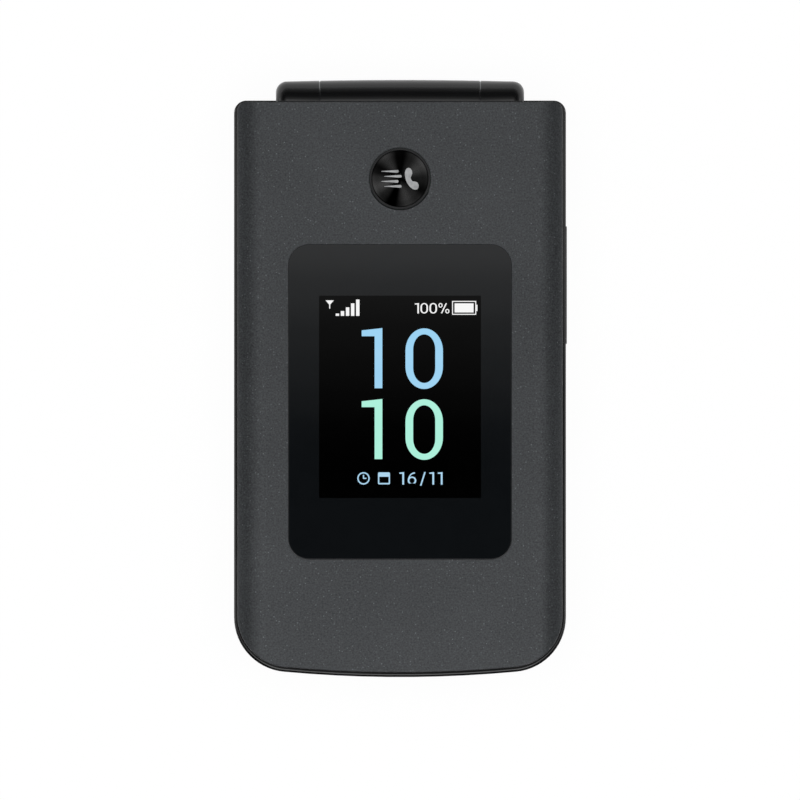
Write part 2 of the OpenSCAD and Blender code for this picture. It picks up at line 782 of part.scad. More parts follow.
shaft_hex_r = 2.2;
pin_r = 2.5;
sleeve_r = bore_r - 0.03;
sleeve_x = -barrel_hl;
cam_r = sleeve_r - tube_wall - run_fit;
spring_x = [sleeve_x + 6.65, 0.05];
lobe_h = 0.7;

// Cartridge tube pressed into the barrel, with an end wall that carries the shaft
module hinge_sleeve() {
    color([0.7, 0.7, 0.72]) difference() {
        axle(sleeve_r, sleeve_x, 0.8);
        axle(sleeve_r - tube_wall, sleeve_x + 1, 1.8);
        axle(shaft_r + run_fit, sleeve_x - 1, 1.8);
    }
}

// Shaft: hexagonal head in the left knuckle, round stem through the cartridge, riveted end
module hinge_shaft() {
    color([0.62, 0.63, 0.65]) {
        axle(shaft_hex_r, -knuckle_x + 1.3, sleeve_x - 0.1, 6);
        axle(shaft_r, sleeve_x - 0.1, 0.6);
        axle(cam_r - 0.2, 0.1, 0.6);
    }
}

// Cam, fixed on the shaft, with two notches in the face that meets the follower
module hinge_cam() {
    x0 = sleeve_x + 1.1;
    color([0.5, 0.5, 0.52]) difference() {
        axle(cam_r, x0, x0 + 2.4);
        axle(shaft_r + 0.01, x0 - 1, x0 + 4);
        for (s = [0, 90]) translate([x0 + 2.4 + 0.9, hinge_y, hinge_z]) rotate([s, 0, 0])
            cylinder(r = 1.4, h = 3 * cam_r, center = true);
    }
}

// Follower, keyed in the tube, drawn lifted clear of the cam
module hinge_follower() {
    x0 = sleeve_x + 1.1 + 2.4 + 0.1;
    color([0.56, 0.5, 0.36]) difference() {
        axle(cam_r + run_fit - 0.01, x0, x0 + 3);
        axle(shaft_r + run_fit, x0 - 1, x0 + 4);
        // Flanks of the two lobes
        for (s = [-1, 1]) translate([x0 - 0.01, hinge_y + s * 2.2, hinge_z]) rotate([0, 90, 0])
            translate([-1.1, -1.1, 0]) cube([2.2, 2.2, lobe_h]);
    }
}

// Points of the coil, and of the wire round one point of it
spring_turns = 6;
spring_steps = 16;
wire_sides = 6;
wire_r = 0.26;
coil_r = (cam_r + shaft_r) / 2;
function coil_point(i, k) =
    let (a = i * 360 / spring_steps, b = k * 360 / wire_sides, r = coil_r + wire_r * cos(b))
    [
        spring_x[0] + wire_r + (spring_x[1] - spring_x[0] - 2 * wire_r) * i / (spring_turns * spring_steps)
            + wire_r * sin(b),
        hinge_y + r * cos(a),
        hinge_z + r * sin(a)
    ];

// Compression spring between follower and riveted end
module hinge_spring() {
    n = spring_turns * spring_steps;
    points = [for (i = [0 : n], k = [0 : wire_sides - 1]) coil_point(i, k)];
    ends = [
        [for (k = [0 : wire_sides - 1]) k],
        [for (k = [wire_sides - 1 : -1 : 0]) n * wire_sides + k]
    ];
    sides = [
        for (i = [0 : n - 1], k = [0 : wire_sides - 1])
            let (a = i * wire_sides + k, b = i * wire_sides + (k + 1) % wire_sides)
            [a, a + wire_sides, b + wire_sides, b]
    ];
    color([0.66, 0.66, 0.68]) polyhedron(points, concat(ends, sides), convexity = 10);
}

// Bush in the right end of the barrel, and the hollow pin that turns in it
bush_x = barrel_hl - 4.6;
module hinge_bush() {
    color([0.85, 0.85, 0.8]) difference() {
        axle(sleeve_r, bush_x, barrel_hl);
        axle(pin_r + run_fit, bush_x - 1, barrel_hl + 1);
    }
}
module hinge_pin() {
    color([0.62, 0.63, 0.65]) difference() {
        axle(pin_r, bush_x - 0.6, tail_x - tail_w / 2 - 0.3);
        axle(pin_r - tube_wall, bush_x - 2, knuckle_x);
    }
}

// Flex cable: rolled inside the hollow pin, with a tail down to the board's socket
tail_x = knuckle_x - 2.3;
tail_w = 2.4;
roll_r = 1.7;
flex_t = 0.15;
module flex_tail(air) {
    y1 = hollow_y - 1.6;
    z1 = board_top + 0.6;
    dy = hinge_y - 0.6 * roll_r - y1;
    dz = hinge_z - 0.7 * roll_r - z1;
    translate([tail_x, y1, z1]) rotate([atan2(dz, dy), 0, 0])
        translate([-tail_w / 2 - air, 0, -air])
        cube([tail_w + 2 * air, sqrt(dy * dy + dz * dz), flex_t + 2 * air]);
}
module flex_cable() {
    color([0.75, 0.45, 0.12]) {
        translate([bush_x - 6, hinge_y, hinge_z]) rotate([0, 90, 0]) rotate_extrude(angle = 330, start = 30)
            translate([roll_r, 0]) square([flex_t, tail_x + tail_w / 2 - bush_x + 6]);
        flex_tail(0);
    }
}

// ---- Lid housings ----

// Space of the lid: its hinge end leans so that it clears the base when the lid is fully open
module lid_space() {
    lean = tan(180 - open_angle);
    translate([-big / 2, 0, 0]) rotate([90, 0, 90]) linear_extrude(big) polygon([
        [-big, lid_z - 1], [end_y - (lid_t + 1) * lean, lid_z - 1],
        [end_y + lean, top_z + 1], [-big, top_z + 1]
    ]);
}

// Room for the side knuckles
module knuckle_room() {
    for (s = [0, 1]) mirror([s, 0, 0])
        axle(barrel_r + hinge_air, barrel_hl, knuckle_x + hinge_air);
}

// Roof of the outer cover: flat in the middle, rolled over along both sides
module face_roll() {
    rotate([90, 0, 0]) linear_extrude(big, center = true) {
        translate([-face_hw, part_z - 1]) square([2 * face_hw, top_z - part_z + 1]);
        for (s = [-1, 1]) intersection() {
            translate([s * face_hw, top_z - face_r]) circle(face_r, $fn = fine);
            translate([-hw, part_z - 1]) square([body_w, lid_t]);
        }
        for (s = [-1, 1]) translate([s * (face_hw + face_r / 2), part_z - 1 + 0.5])
            square([face_r, 1], center = true);
    }
}

module lid_outer_cover() {
    inside = reveal + wall + 0.4;
    color([0.26, 0.265, 0.27]) difference() {
        union() {
            difference() {
                intersection() {
                    translate([0, chin_reveal, 0]) plate(part_z, top_z, reveal);
                    face_roll();
                    lid_space();
                }
                intersection() {
                    plate(part_z - 1, roof_z, inside);
                    short_of(hollow_y);
                }
            }
            at_lid_screws() post(0, 0, 1.6, floor_top + seat, roof_z + 0.1);
        }
        // Pocket and window of the outer lens
        slab(0, lens_y, lens_w + gap, lens_l + gap, lens_r + gap / 2, lens_z - seat, top_z + 1);
        slab(0, screen_y, screen_w + 2, screen_l + 2, 1, roof_z - 1, top_z + 1);
        post(0, call_y, ring_r + gap / 2, roof_z - 1, top_z + 1);
        axle(barrel_r + gap, -barrel_hl - gap, barrel_hl + gap);
        knuckle_room();
        at_lid_screws() post(0, 0, 0.6 + seat / 2, lid_z, roof_z - 0.6);
    }
}

module lid_inner_cover() {
    color([0.1, 0.1, 0.11]) difference() {
        union() {
            difference() {
                intersection() {
                    plate(lid_z, part_z);
                    lid_space();
                }
                intersection() {
                    plate(floor_top, part_z + 1, wall);
                    short_of(hollow_y);
                }
                knuckle_room();
            }
            turned() barrel_section(-barrel_hl, barrel_hl);
        }
        axle(bore_r, -barrel_hl - 1, barrel_hl + 1);
        // Pocket and window of the inner lens
        slab(0, glass_y, glass_w + gap, glass_l + gap, glass_r + gap / 2, lid_z - 1, ledge_z);
        slab(0, picture_y, picture_w + 1.6, picture_l + 1.6, 1, lid_z - 1, floor_top + 1);
        // Earpiece slot, screw holes and bumper seats
        slab(0, receiver_y, 11, 1.6, big, lid_z - 1, floor_top + 1);
        at_lid_screws() {
            post(0, 0, 0.6 + seat, lid_z - 1, floor_top + 1);
            post(0, 0, 1.3, lid_z - 1, lid_z + 0.95);
        }
        at_bumpers() slab(0, 0, bumper_w + gap, bumper_l + gap, big, lid_z - 1, lid_z + bumper_sink);
    }
}

// ---- Pieces of the lid ----

module outer_lens() {
    color([0.05, 0.05, 0.06]) slab(0, lens_y, lens_w, lens_l, lens_r, lens_z, lens_z + lens_t);
}

module outer_display() {
    color([0.1, 0.11, 0.13]) {
        slab(0, screen_y - 1.2, screen_w + 6, screen_l + 10.8, 0.8, screen_z, screen_z + screen_t);
        // Glass that carries the picture, up in the window of the cover
        slab(0, screen_y, screen_w + 1.2, screen_l + 1.2, 0.5, screen_z + screen_t, lens_z - 0.15);
    }
}

module quick_call_ring() {
    color([0.2, 0.2, 0.21]) difference() {
        post(0, call_y, ring_r, roof_z + seat, top_z + ring_proud);
        post(0, call_y, ring_r - ring_wall, roof_z - 1, top_z + 1);
    }
}

// Button: dished disc, flange that keeps it under the ring, and a nub over its dome
module quick_call_button() {
    r = ring_r - ring_wall - gap;
    flange_z = roof_z - 0.75;
    dish_r = 60;
    color([0.05, 0.05, 0.06]) {
        difference() {
            post(0, call_y, r, flange_z + 0.4, top_z - 0.05);
            translate([0, call_y, top_z - 0.35 + dish_r]) sphere(dish_r, $fn = fine);
        }
        post(0, call_y, ring_r - 0.1, flange_z, flange_z + 0.4);
        post(0, call_y, 1.5, lid_board_z + lid_board_t + key_travel + 0.05, flange_z);
    }
}

module lid_chassis() {
    y0 = picture_y - picture_l / 2 - 7;
    y1 = hollow_y - 6.6;
    color([0.68, 0.69, 0.7]) difference() {
        slab(0, (y0 + y1) / 2, 2 * (hw - wall - 1), y1 - y0, 2, chassis_z, chassis_z + chassis_t);
        // Way for the inner display's flex
        slab(0, y0 + 3, 16, 2, 0.5, chassis_z - 1, chassis_z + 1);
    }
}

module lid_board() {
    y0 = screen_y - screen_l / 2 - 9;
    color([0.05, 0.3, 0.16]) {
        block(9.25 - hw, hw - 9.25, y0, hollow_y - 0.7, lid_board_z, lid_board_z + lid_board_t);
        // Socket of the hinge flex and the outer display's socket
        block(8, 14, hollow_y - 4.4, hollow_y - 2, lid_board_z + lid_board_t, lid_board_z + lid_board_t + 0.7);
        block(-17.5, -11, hollow_y - 9, hollow_y - 6, lid_board_z + lid_board_t, lid_board_z + lid_board_t + 0.8);
    }
}

module inner_lens() {
    color([0.03, 0.03, 0.035]) slab(0, glass_y, glass_w, glass_l, glass_r, glass_z, glass_z + lens_t);
}

module inner_display() {
    color([0.12, 0.13, 0.15]) {
        slab(0, picture_y, glass_w, picture_l + 11.6, 0.8, lcd_z, lcd_z + panel_lcd_t);
        slab(0, picture_y, picture_w + 1, picture_l + 1, 0.5, ledge_z + 0.1, lcd_z);
    }
}

module receiver() {
    color([0.7, 0.7, 0.72]) slab(0, receiver_y + 0.4, 12, 5.6, 2, lcd_z, lcd_z + 1.9);
}

module earpiece_mesh() {
    color([0.3, 0.3, 0.31]) slab(0, receiver_y, 10.9, 1.5, big, lid_z + 0.35, lid_z + 0.6);
}

// Rubber bumpers at the four corners of the inner cover, resting over the rim of the base
bumper_w = 2.2;
bumper_l = 5;
bumper_sink = 0.5;
bumper_x = hw - 2.1;
bumper_y = [chin_y + 14.75, hinge_y - 11.15];
module at_bumpers() for (x = [-1, 1], y = bumper_y) translate([x * bumper_x, y]) children();
module lid_bumpers() {
    color([0.05, 0.05, 0.05]) at_bumpers()
        slab(0, 0, bumper_w, bumper_l, big, base_t + 0.05, lid_z + bumper_sink);
}

module lid_magnet() {
    color([0.6, 0.6, 0.6]) slab(12.25 - hw, receiver_y, 5, 2.4, 0.3, lcd_z, lcd_z + 1.5);
}

module lid_screws() {
    color([0.55, 0.55, 0.57]) at_lid_screws() difference() {
        union() {
            post(0, 0, 1.15, lid_z + 0.35, lid_z + 0.9);
            post(0, 0, 0.6, lid_z + 0.9, roof_z - 1);
        }
        translate([0, 0, lid_z]) cylinder(r = 0.5, h = 0.65, $fn = 6);
    }
}

lid_outer_cover();
lid_inner_cover();
outer_lens();
outer_display();
quick_call_ring();
quick_call_button();
lid_chassis();
lid_board();
inner_lens();
inner_display();
receiver();
earpiece_mesh();
lid_bumpers();
lid_magnet();
lid_screws();
hinge_sleeve();
hinge_follower();
hinge_spring();
hinge_bush();
keypad_cover();
rear_case();
battery_cover();
battery();
main_board();
shield_cans();
dome_sheet();
camera_module();
camera_window();
loudspeaker();
vibration_motor();
usb_port();
headset_jack();
sim_slot();
battery_contacts();
base_screws();
hinge_shaft();
hinge_cam();
hinge_pin();
flex_cable();
number_key(0);  // key_1
number_key(1);  // key_2
number_key(2);  // key_3
number_key(3);  // key_4
number_key(4);  // key_5
number_key(5);  // key_6
number_key(6);  // key_7
number_key(7);  // key_8
number_key(8);  // key_9
number_key(9);  // key_star
number_key(10);  // key_0
number_key(11);  // key_hash
call_key();
clear_key();
end_key();
soft_key_left();
soft_key_right();
ok_key();
nav_pad();
nav_ring();
volume_rocker();
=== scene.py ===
from math import atan2, cos, hypot, pi, radians, sin

import bmesh
import bpy
from mathutils import Matrix, Vector


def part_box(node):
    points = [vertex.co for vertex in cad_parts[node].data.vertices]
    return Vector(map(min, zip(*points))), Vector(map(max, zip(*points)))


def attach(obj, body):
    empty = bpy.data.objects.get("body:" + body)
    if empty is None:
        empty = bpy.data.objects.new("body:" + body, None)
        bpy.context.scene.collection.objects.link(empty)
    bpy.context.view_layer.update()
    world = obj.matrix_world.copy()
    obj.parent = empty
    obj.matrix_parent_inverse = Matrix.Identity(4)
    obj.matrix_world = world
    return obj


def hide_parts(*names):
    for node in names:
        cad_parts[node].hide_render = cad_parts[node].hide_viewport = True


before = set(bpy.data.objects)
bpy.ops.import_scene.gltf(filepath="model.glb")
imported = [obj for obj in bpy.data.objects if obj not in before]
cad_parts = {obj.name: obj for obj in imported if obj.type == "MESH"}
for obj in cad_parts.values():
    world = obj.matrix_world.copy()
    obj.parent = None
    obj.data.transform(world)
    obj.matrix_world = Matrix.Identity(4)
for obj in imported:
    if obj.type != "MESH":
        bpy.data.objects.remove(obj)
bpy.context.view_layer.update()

# Studio: the closed phone lies on its back on a white table. Over it hangs a wide soft box,
# with a dark card in its middle; black plastic shows the box, the dimmer wall under it and
# the white table in turn.
SKY_POWER = 1.55

scene = bpy.context.scene
scene.view_settings.view_transform = "Standard"


class Sock:
    """A value in a node tree. Operators on it add Math nodes, and node() adds any other node."""

    def __init__(self, tree, socket=None):
        self.tree, self.socket = tree, socket

    def node(self, kind, settings=None, inputs=None, out=0):
        """One output of a new node, whose inputs are given as values or linked."""
        made = self.tree.nodes.new(kind)
        for key, value in (settings or {}).items():
            if key == "stops":
                ramp = made.color_ramp
                ramp.interpolation = "EASE"
                while len(ramp.elements) < len(value):
                    ramp.elements.new(1.0)
                for element, (place, colour) in zip(ramp.elements, value):
                    colour = colour if isinstance(colour, tuple) else (colour,) * 3
                    element.position = place
                    element.color = (*colour, 1.0)
            else:
                setattr(made, key, value)
        for key, value in (inputs or {}).items():
            if isinstance(value, Sock):
                self.tree.links.new(value.socket, made.inputs[key])
            else:
                made.inputs[key].default_value = value
        return Sock(self.tree, made.outputs[out])

    def math(self, operation, *values):
        """A Math node on values."""
        return self.node("ShaderNodeMath", {"operation": operation}, dict(enumerate(values)))

    def __add__(self, other):
        return self.math("ADD", self, other)

    def __radd__(self, other):
        return self.math("ADD", other, self)

    def __sub__(self, other):
        return self.math("SUBTRACT", self, other)

    def __rsub__(self, other):
        return self.math("SUBTRACT", other, self)

    def __mul__(self, other):
        return self.math("MULTIPLY", self, other)

    def __rmul__(self, other):
        return self.math("MULTIPLY", other, self)

    def __lt__(self, other):
        return self.math("LESS_THAN", self, other)

    def __gt__(self, other):
        return self.math("GREATER_THAN", self, other)

    def __abs__(self):
        return self.math("ABSOLUTE", self)

    def sine(self):
        """The sine of this value."""
        return self.math("SINE", self)

    def reach(self, other):
        """How far a place is from the middle, from its two distances across and along."""
        return self.math("SQRT", self * self + other * other)

    def parts(self):
        """The X, Y and Z of a vector."""
        split = self.node("ShaderNodeSeparateXYZ", {}, {0: self})
        return [Sock(self.tree, s) for s in split.socket.node.outputs]

    def between(self, low, high, new_low=0.0, new_high=1.0):
        """This value carried from one range to another, and held at the ends."""
        ends = {0: self, 1: low, 2: high, 3: new_low, 4: new_high}
        return self.node("ShaderNodeMapRange", {}, ends)

    def spread(self, low=0.0, high=1.0):
        """Noise, which lies mostly from 0.3 to 0.7, carried to a range of its own."""
        return self.between(0.3, 0.7, low, high)

    def blend(self, first, second):
        """A colour from the first to the second, by this value."""
        colours = {0: self, 6: first, 7: second}
        return self.node("ShaderNodeMix", {"data_type": "RGBA"}, colours, 2)


def grey(value):
    """A grey as a colour."""
    return (value, value, value, 1.0)


sky = bpy.data.worlds.new("studio")
sky.use_nodes = True
scene.world = sky
sky_tree = Sock(sky.node_tree)
sky_across, _, sky_up = sky_tree.node("ShaderNodeTexCoord", {}, {}, "Generated").parts()
sky_across = abs(sky_across)
sky_light = sky_up.node("ShaderNodeValToRGB", {"stops": [
    (0.00, 0.32), (0.21, 0.12), (0.47, 0.03), (0.67, 0.05), (0.83, 0.24), (0.91, 1.0), (1.0, 1.0),
]}, {0: sky_up})
sky_walls = sky_across.between(0.62, 0.92, 0.0, 0.24)
sky_rims = sky_across.between(0.86, 1.0, 0.0, 0.9)
sky_light = (sky_light + sky_walls + sky_rims).blend(grey(0.0), grey(1.0))
sky_seen = sky_tree.node("ShaderNodeLightPath", {}, {}, "Is Camera Ray")
sky_colour = sky_seen.blend(sky_light, grey(1.0))
sky_strength = sky_seen * (1.0 - SKY_POWER) + SKY_POWER
sky_back = sky.node_tree.nodes["Background"]
sky.node_tree.links.new(sky_colour.socket, sky_back.inputs["Color"])
sky.node_tree.links.new(sky_strength.socket, sky_back.inputs["Strength"])

# White table, a hair's breadth under the phone. It keeps a soft shadow of the phone and is
# white to the eye; to all other light it is plain white board, and it is clear from below.
TABLE_HALF, TABLE_Z = 8.0, -0.00002
TABLE_DIFFUSE, TABLE_LIT = 0.045, 0.93
BOARD_WHITE = 0.85


def stage_plane(name, half, y0, y1, z):
    """A flat sheet of the studio, as wide to the left as to the right."""
    bm = bmesh.new()
    bmesh.ops.create_grid(bm, x_segments=1, y_segments=1, size=0.5)
    bmesh.ops.scale(bm, vec=(2 * half, y1 - y0, 1), verts=bm.verts)
    bmesh.ops.translate(bm, vec=(0, (y0 + y1) / 2, z), verts=bm.verts)
    mesh = bpy.data.meshes.new(name)
    bm.to_mesh(mesh)
    bm.free()
    plane = bpy.data.objects.new(name, mesh)
    scene.collection.objects.link(plane)
    return plane


def stage_finish(name):
    """A material of the studio whose shader is still to come, and its node tree."""
    made = bpy.data.materials.new(name)
    made.use_nodes = True
    made.node_tree.nodes.remove(made.node_tree.nodes["Principled BSDF"])
    return made, Sock(made.node_tree)


def coat(plane, made, shader):
    """Gives a sheet of the studio its material."""
    end = made.node_tree.nodes["Material Output"].inputs["Surface"]
    made.node_tree.links.new(shader.socket, end)
    plane.data.materials.append(made)


table = stage_plane("table", TABLE_HALF, -TABLE_HALF, TABLE_HALF, TABLE_Z)
table_finish, tree = stage_finish("table_white")
seen = tree.node("ShaderNodeLightPath", {}, {}, "Is Camera Ray")
through = tree.node("ShaderNodeLightPath", {}, {}, "Is Transmission Ray")
shown = seen.math("MAXIMUM", seen, through)
paint = tree.node("ShaderNodeBsdfDiffuse", {}, {"Color": grey(TABLE_DIFFUSE)})
glow = tree.node("ShaderNodeEmission", {}, {
    "Color": grey(1.0), "Strength": 1.0 - TABLE_DIFFUSE * TABLE_LIT})
white = tree.node("ShaderNodeAddShader", {}, {0: paint, 1: glow})
board = tree.node("ShaderNodeBsdfDiffuse", {}, {"Color": grey(BOARD_WHITE)})
top_side = tree.node("ShaderNodeMixShader", {}, {0: shown, 1: board, 2: white})
below = tree.node("ShaderNodeNewGeometry", {}, {}, "Backfacing")
clear = tree.node("ShaderNodeBsdfTransparent")
both_sides = tree.node("ShaderNodeMixShader", {}, {0: below, 1: top_side, 2: clear})
coat(table, table_finish, both_sides)

# Two cards over the phone, seen in gloss alone: a dark one over its face, paler towards the
# hinge, and a bright one beside it at the chin end.
CARD_Z = 0.32


def gloss_card(name, half, y0, y1, stops, strength=1.0):
    """A glowing card that only gloss sees, its light given from the chin to the hinge end."""
    card = stage_plane(name, half, y0, y1, CARD_Z)
    for ray in ("camera", "diffuse", "transmission", "shadow", "volume_scatter"):
        setattr(card, "visible_" + ray, False)
    made, tree = stage_finish(name)
    along = tree.node("ShaderNodeTexCoord", {}, {}, "Object").parts()[1]
    light = along.node("ShaderNodeValToRGB", {"stops": stops}, {0: along.between(y0, y1)})
    coat(card, made, tree.node("ShaderNodeEmission", {}, {"Color": light, "Strength": strength}))


gloss_card("dark_card", 0.044, -0.092, 0.064, [
    (0.0, 0.2), (0.24, 0.15), (0.36, 0.0), (0.49, 0.0), (0.53, 0.02), (0.565, 0.09), (0.60, 0.16),
    (0.64, 0.24), (0.695, 0.43), (0.745, 0.68), (0.79, 0.80), (1.0, 0.35),
])
gloss_card("bright_card", 0.16, -0.38, -0.094, [(0.0, 1.0), (1.0, 1.0)], 3.0)

# Soft box and camera: a round soft box over the phone, leant a little towards its face, and a
# long lens straight above, five metres away, so that the phone is seen all but flat.
MM = 0.001
FACE_Z = 18.5 * MM
VIEW_WIDTH, VIEW_MIDDLE = 138.50 * MM, -3.741 * MM
VIEW_DISTANCE, SENSOR = 5.0, 36.0
lamp = bpy.data.objects.new("soft_box", bpy.data.lights.new("soft_box", "AREA"))
lamp.data.shape = "DISK"
lamp.data.size = 0.9
lamp.data.energy = 4.6
lamp.location = (0.0, -0.15, 1.0)
lamp.rotation_euler = (radians(-8.5), 0, 0)
lamp.visible_glossy = False
scene.collection.objects.link(lamp)

camera = bpy.data.objects.new("camera", bpy.data.cameras.new("camera"))
camera.data.sensor_width = SENSOR
camera.data.lens = SENSOR * VIEW_DISTANCE / VIEW_WIDTH
camera.data.clip_start, camera.data.clip_end = 0.05, 50.0
camera.location = (0.0, VIEW_MIDDLE, FACE_Z + VIEW_DISTANCE)
scene.collection.objects.link(camera)
scene.camera = camera

# Inner cover of the lid: a black moulded frame. It shows as a thin ledge round the face and as
# the middle barrel of the hinge; its edges are broken by a small radius from the mould, and the
# rim of the ledge rolls down and in, most of all at the chin.
AXIS_Y, AXIS_Z = 47.15, 10.8
PARTING_Z, LEDGE_Z, RIM_R = 10.9, 14.5, 0.14
CHIN_PULL, SIDE_PULL = 0.34, 0.16
CHIN_FALL, SIDE_FALL = 0.105, 0.08
FRAME_DARK, FRAME_PALE = (0.0024, 0.0025, 0.0027, 1), (0.0042, 0.0043, 0.0046, 1)


def merged(node):
    """A copy of a CAD node as one closed mesh with whole flats."""
    bm = bmesh.new()
    bm.from_mesh(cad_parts[node].data)
    bmesh.ops.remove_doubles(bm, verts=bm.verts[:], dist=2e-6)
    bmesh.ops.dissolve_limit(
        bm, angle_limit=radians(0.05), verts=bm.verts[:], edges=bm.edges[:])
    return bm


def sharp_edges(bm, chosen, angle=30):
    """Edges that turn outwards by more than an angle, chosen by their middle and two normals."""
    found = []
    for edge in bm.edges:
        if (len(edge.link_faces) == 2 and edge.is_convex
                and edge.calc_face_angle() > radians(angle)):
            middle = (edge.verts[0].co + edge.verts[1].co) / 2
            normals = sorted((f.normal for f in edge.link_faces), key=lambda n: n.z)
            if chosen(middle / MM, normals):
                found.append(edge)
    return found


def soften(bm, edges, width, segments=3):
    """A small radius along edges, its width in millimetres."""
    bmesh.ops.bevel(
        bm, geom=edges, offset=width * MM, offset_type="OFFSET", segments=segments, profile=0.5,
        affect="EDGES", clamp_overlap=False, material=-1, loop_slide=False,
    )
    bmesh.ops.remove_doubles(bm, verts=bm.verts[:], dist=1e-6)


def outside(normals, middle):
    """True where one of two faces looks sideways, away from the middle of the phone."""
    return any(
        abs(n.z) < 0.4
        and n.x * middle.x + n.y * middle.y > 0.2 * hypot(middle.x, middle.y)
        for n in normals)


def piece(bm, name, body, finish, replaces=(), smooth=32):
    """A finished mesh as a piece on a body; edges that turn by more than an angle stay sharp."""
    bm.normal_update()
    for face in bm.faces:
        face.smooth = True
    for edge in bm.edges:
        edge.smooth = edge.calc_face_angle(pi) < radians(smooth)
    mesh = bpy.data.meshes.new(name)
    bm.to_mesh(mesh)
    bm.free()
    made = bpy.data.objects.new(name, mesh)
    scene.collection.objects.link(made)
    mesh.materials.append(finish)
    weigh = made.modifiers.new("normals", "WEIGHTED_NORMAL")
    weigh.keep_sharp = True
    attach(made, body)
    if replaces:
        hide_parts(*replaces)
    return made


def surface(name, **constants):
    """A new finish: its material, its shader, and a place on the piece in millimetres."""
    made = bpy.data.materials.new(name)
    made.use_nodes = True
    shader = made.node_tree.nodes["Principled BSDF"]
    for key, value in constants.items():
        shader.inputs[key.replace("_", " ")].default_value = value
    place = Sock(made.node_tree).node("ShaderNodeTexCoord", {}, {}, "Object")
    to_mm = {0: place, "Scale": 1 / MM}
    return made, shader, place.node("ShaderNodeVectorMath", {"operation": "SCALE"}, to_mm)


def feed(shader, **links):
    """Values that vary over a surface, into the shader."""
    for key, value in links.items():
        value.tree.links.new(value.socket, shader.inputs[key.replace("_", " ")])


def grain(mm, scale, detail=2.0, rough=0.5):
    """Noise from 0 to 1, so many waves to a millimetre."""
    return mm.node("ShaderNodeTexNoise", {}, {
        "Vector": mm, "Scale": scale, "Detail": detail, "Roughness": rough})


def bump(height, strength, distance):
    """A normal from a height, its distance in millimetres."""
    return height.node("ShaderNodeBump", {}, {
        "Strength": strength, "Distance": distance * MM, "Height": height})


def moulded(name, dark, pale, roughness, scale=6.0, depth=0.004, **constants):
    """Moulded plastic: a fine spark texture, and slight cloudiness in colour and gloss."""
    made, shader, mm = surface(name, **constants)
    cloud = grain(mm, 0.09, 3.0)
    spark = grain(mm, scale, 1.0)
    feed(
        shader,
        Base_Color=(cloud * 0.6 + spark * 0.4).blend(dark, pale),
        Roughness=cloud.spread(roughness - 0.03, roughness + 0.03) + spark * 0.04,
        Normal=bump(spark, 0.5, depth),
    )
    return made


frame_plastic = moulded("frame_plastic", FRAME_DARK, FRAME_PALE, 0.12, depth=0.001)
bm = merged("lid_inner_cover")
rims = sharp_edges(
    bm, lambda m, n: outside(n, m) and m.z > PARTING_Z and abs(m.y - AXIS_Y) >= 1)
soften(bm, rims, RIM_R)
bm.normal_update()
for v in bm.verts:
    drop = (LEDGE_Z - v.co.z / MM) / RIM_R
    away = v.normal.xy
    if -0.01 < drop < 1.05 and away.length > 0.04 and away.dot(v.co.xy) > 0:
        away = away.normalized()
        chin, side = max(-away.y, 0.0), abs(away.x)
        level = max(1 - drop, 0.0)
        v.co.xy -= away * (CHIN_PULL * chin * level ** 1.6 + SIDE_PULL * side * level) * MM
        v.co.z -= (CHIN_FALL * chin + SIDE_FALL * side) * (1 - level ** 2) * MM
lid_frame = piece(bm, "lid_frame", "lid", frame_plastic, ["lid_inner_cover"])

# The barrel's mesh is uneven, so its gloss is taken from the true round about the hinge axis,
# which is crowned a little along its length.
BARREL_R, BARREL_HALF, BARREL_CROWN = 4.6, 13.9, 750.0


def barrel_normal(place):
    """The direction away from the hinge axis at a place on the barrel; none off the barrel."""
    x, y, z = place.x / MM, place.y / MM - AXIS_Y, place.z / MM - AXIS_Z
    reach = hypot(y, z)
    if abs(x) < BARREL_HALF and abs(reach - BARREL_R + x * x / (2 * BARREL_CROWN)) < 0.02:
        return Vector((x / BARREL_CROWN, y / reach, z / reach)).normalized()


mesh = lid_frame.data
gloss = [Vector((0, 0, 0))] * len(mesh.loops)
plain = set(range(len(mesh.vertices)))
for face in mesh.polygons:
    turned = [barrel_normal(mesh.vertices[i].co) for i in face.vertices]
    if all(n and n.dot(face.normal) > 0.98 for n in turned):
        gloss[face.loop_start:face.loop_start + face.loop_total] = turned
        plain -= set(face.vertices)
mesh.normals_split_custom_set(gloss)
lid_frame.vertex_groups.new(name="plain").add(sorted(plain), 1.0, "REPLACE")
lid_frame.modifiers["normals"].vertex_group = "plain"

# Lip of the inner cover: a thin flat strip that fills the line between the painted cover and the
# barrel and keeps dust out of the hinge. It falls a little towards the cover.
LIP_HALF, LIP_Y0, LIP_Y1 = 21.2, 47.7, 48.11
LIP_Z0, LIP_Z1, LIP_FALL = 15.27, 15.36, 0.02


def plate(bm, outline, z0, z1, holes=()):
    """A flat plate of an outline, with holes, between two levels in millimetres."""
    rims = []
    for points in (outline, *holes):
        verts = [bm.verts.new((x * MM, y * MM, z0 * MM)) for x, y in points]
        rims += [bm.edges.new((verts[i - 1], verts[i])) for i in range(len(verts))]
    if holes:
        made = bmesh.ops.triangle_fill(
            bm, use_beauty=True, use_dissolve=False, edges=rims, normal=(0, 0, 1))
        faces = [g for g in made["geom"] if isinstance(g, bmesh.types.BMFace)]
    else:
        faces = [bm.faces.new([rims[0].verts[0], *[e.verts[1] for e in rims[:-1]]])]
    top = bmesh.ops.extrude_face_region(bm, geom=faces)
    moved = [g for g in top["geom"] if isinstance(g, bmesh.types.BMVert)]
    bmesh.ops.translate(bm, vec=(0, 0, (z1 - z0) * MM), verts=moved)
    bmesh.ops.recalc_face_normals(bm, faces=bm.faces[:])


def oblong(x0, x1, y0, y1):
    """The outline of a rectangle."""
    return [(x0, y0), (x1, y0), (x1, y1), (x0, y1)]


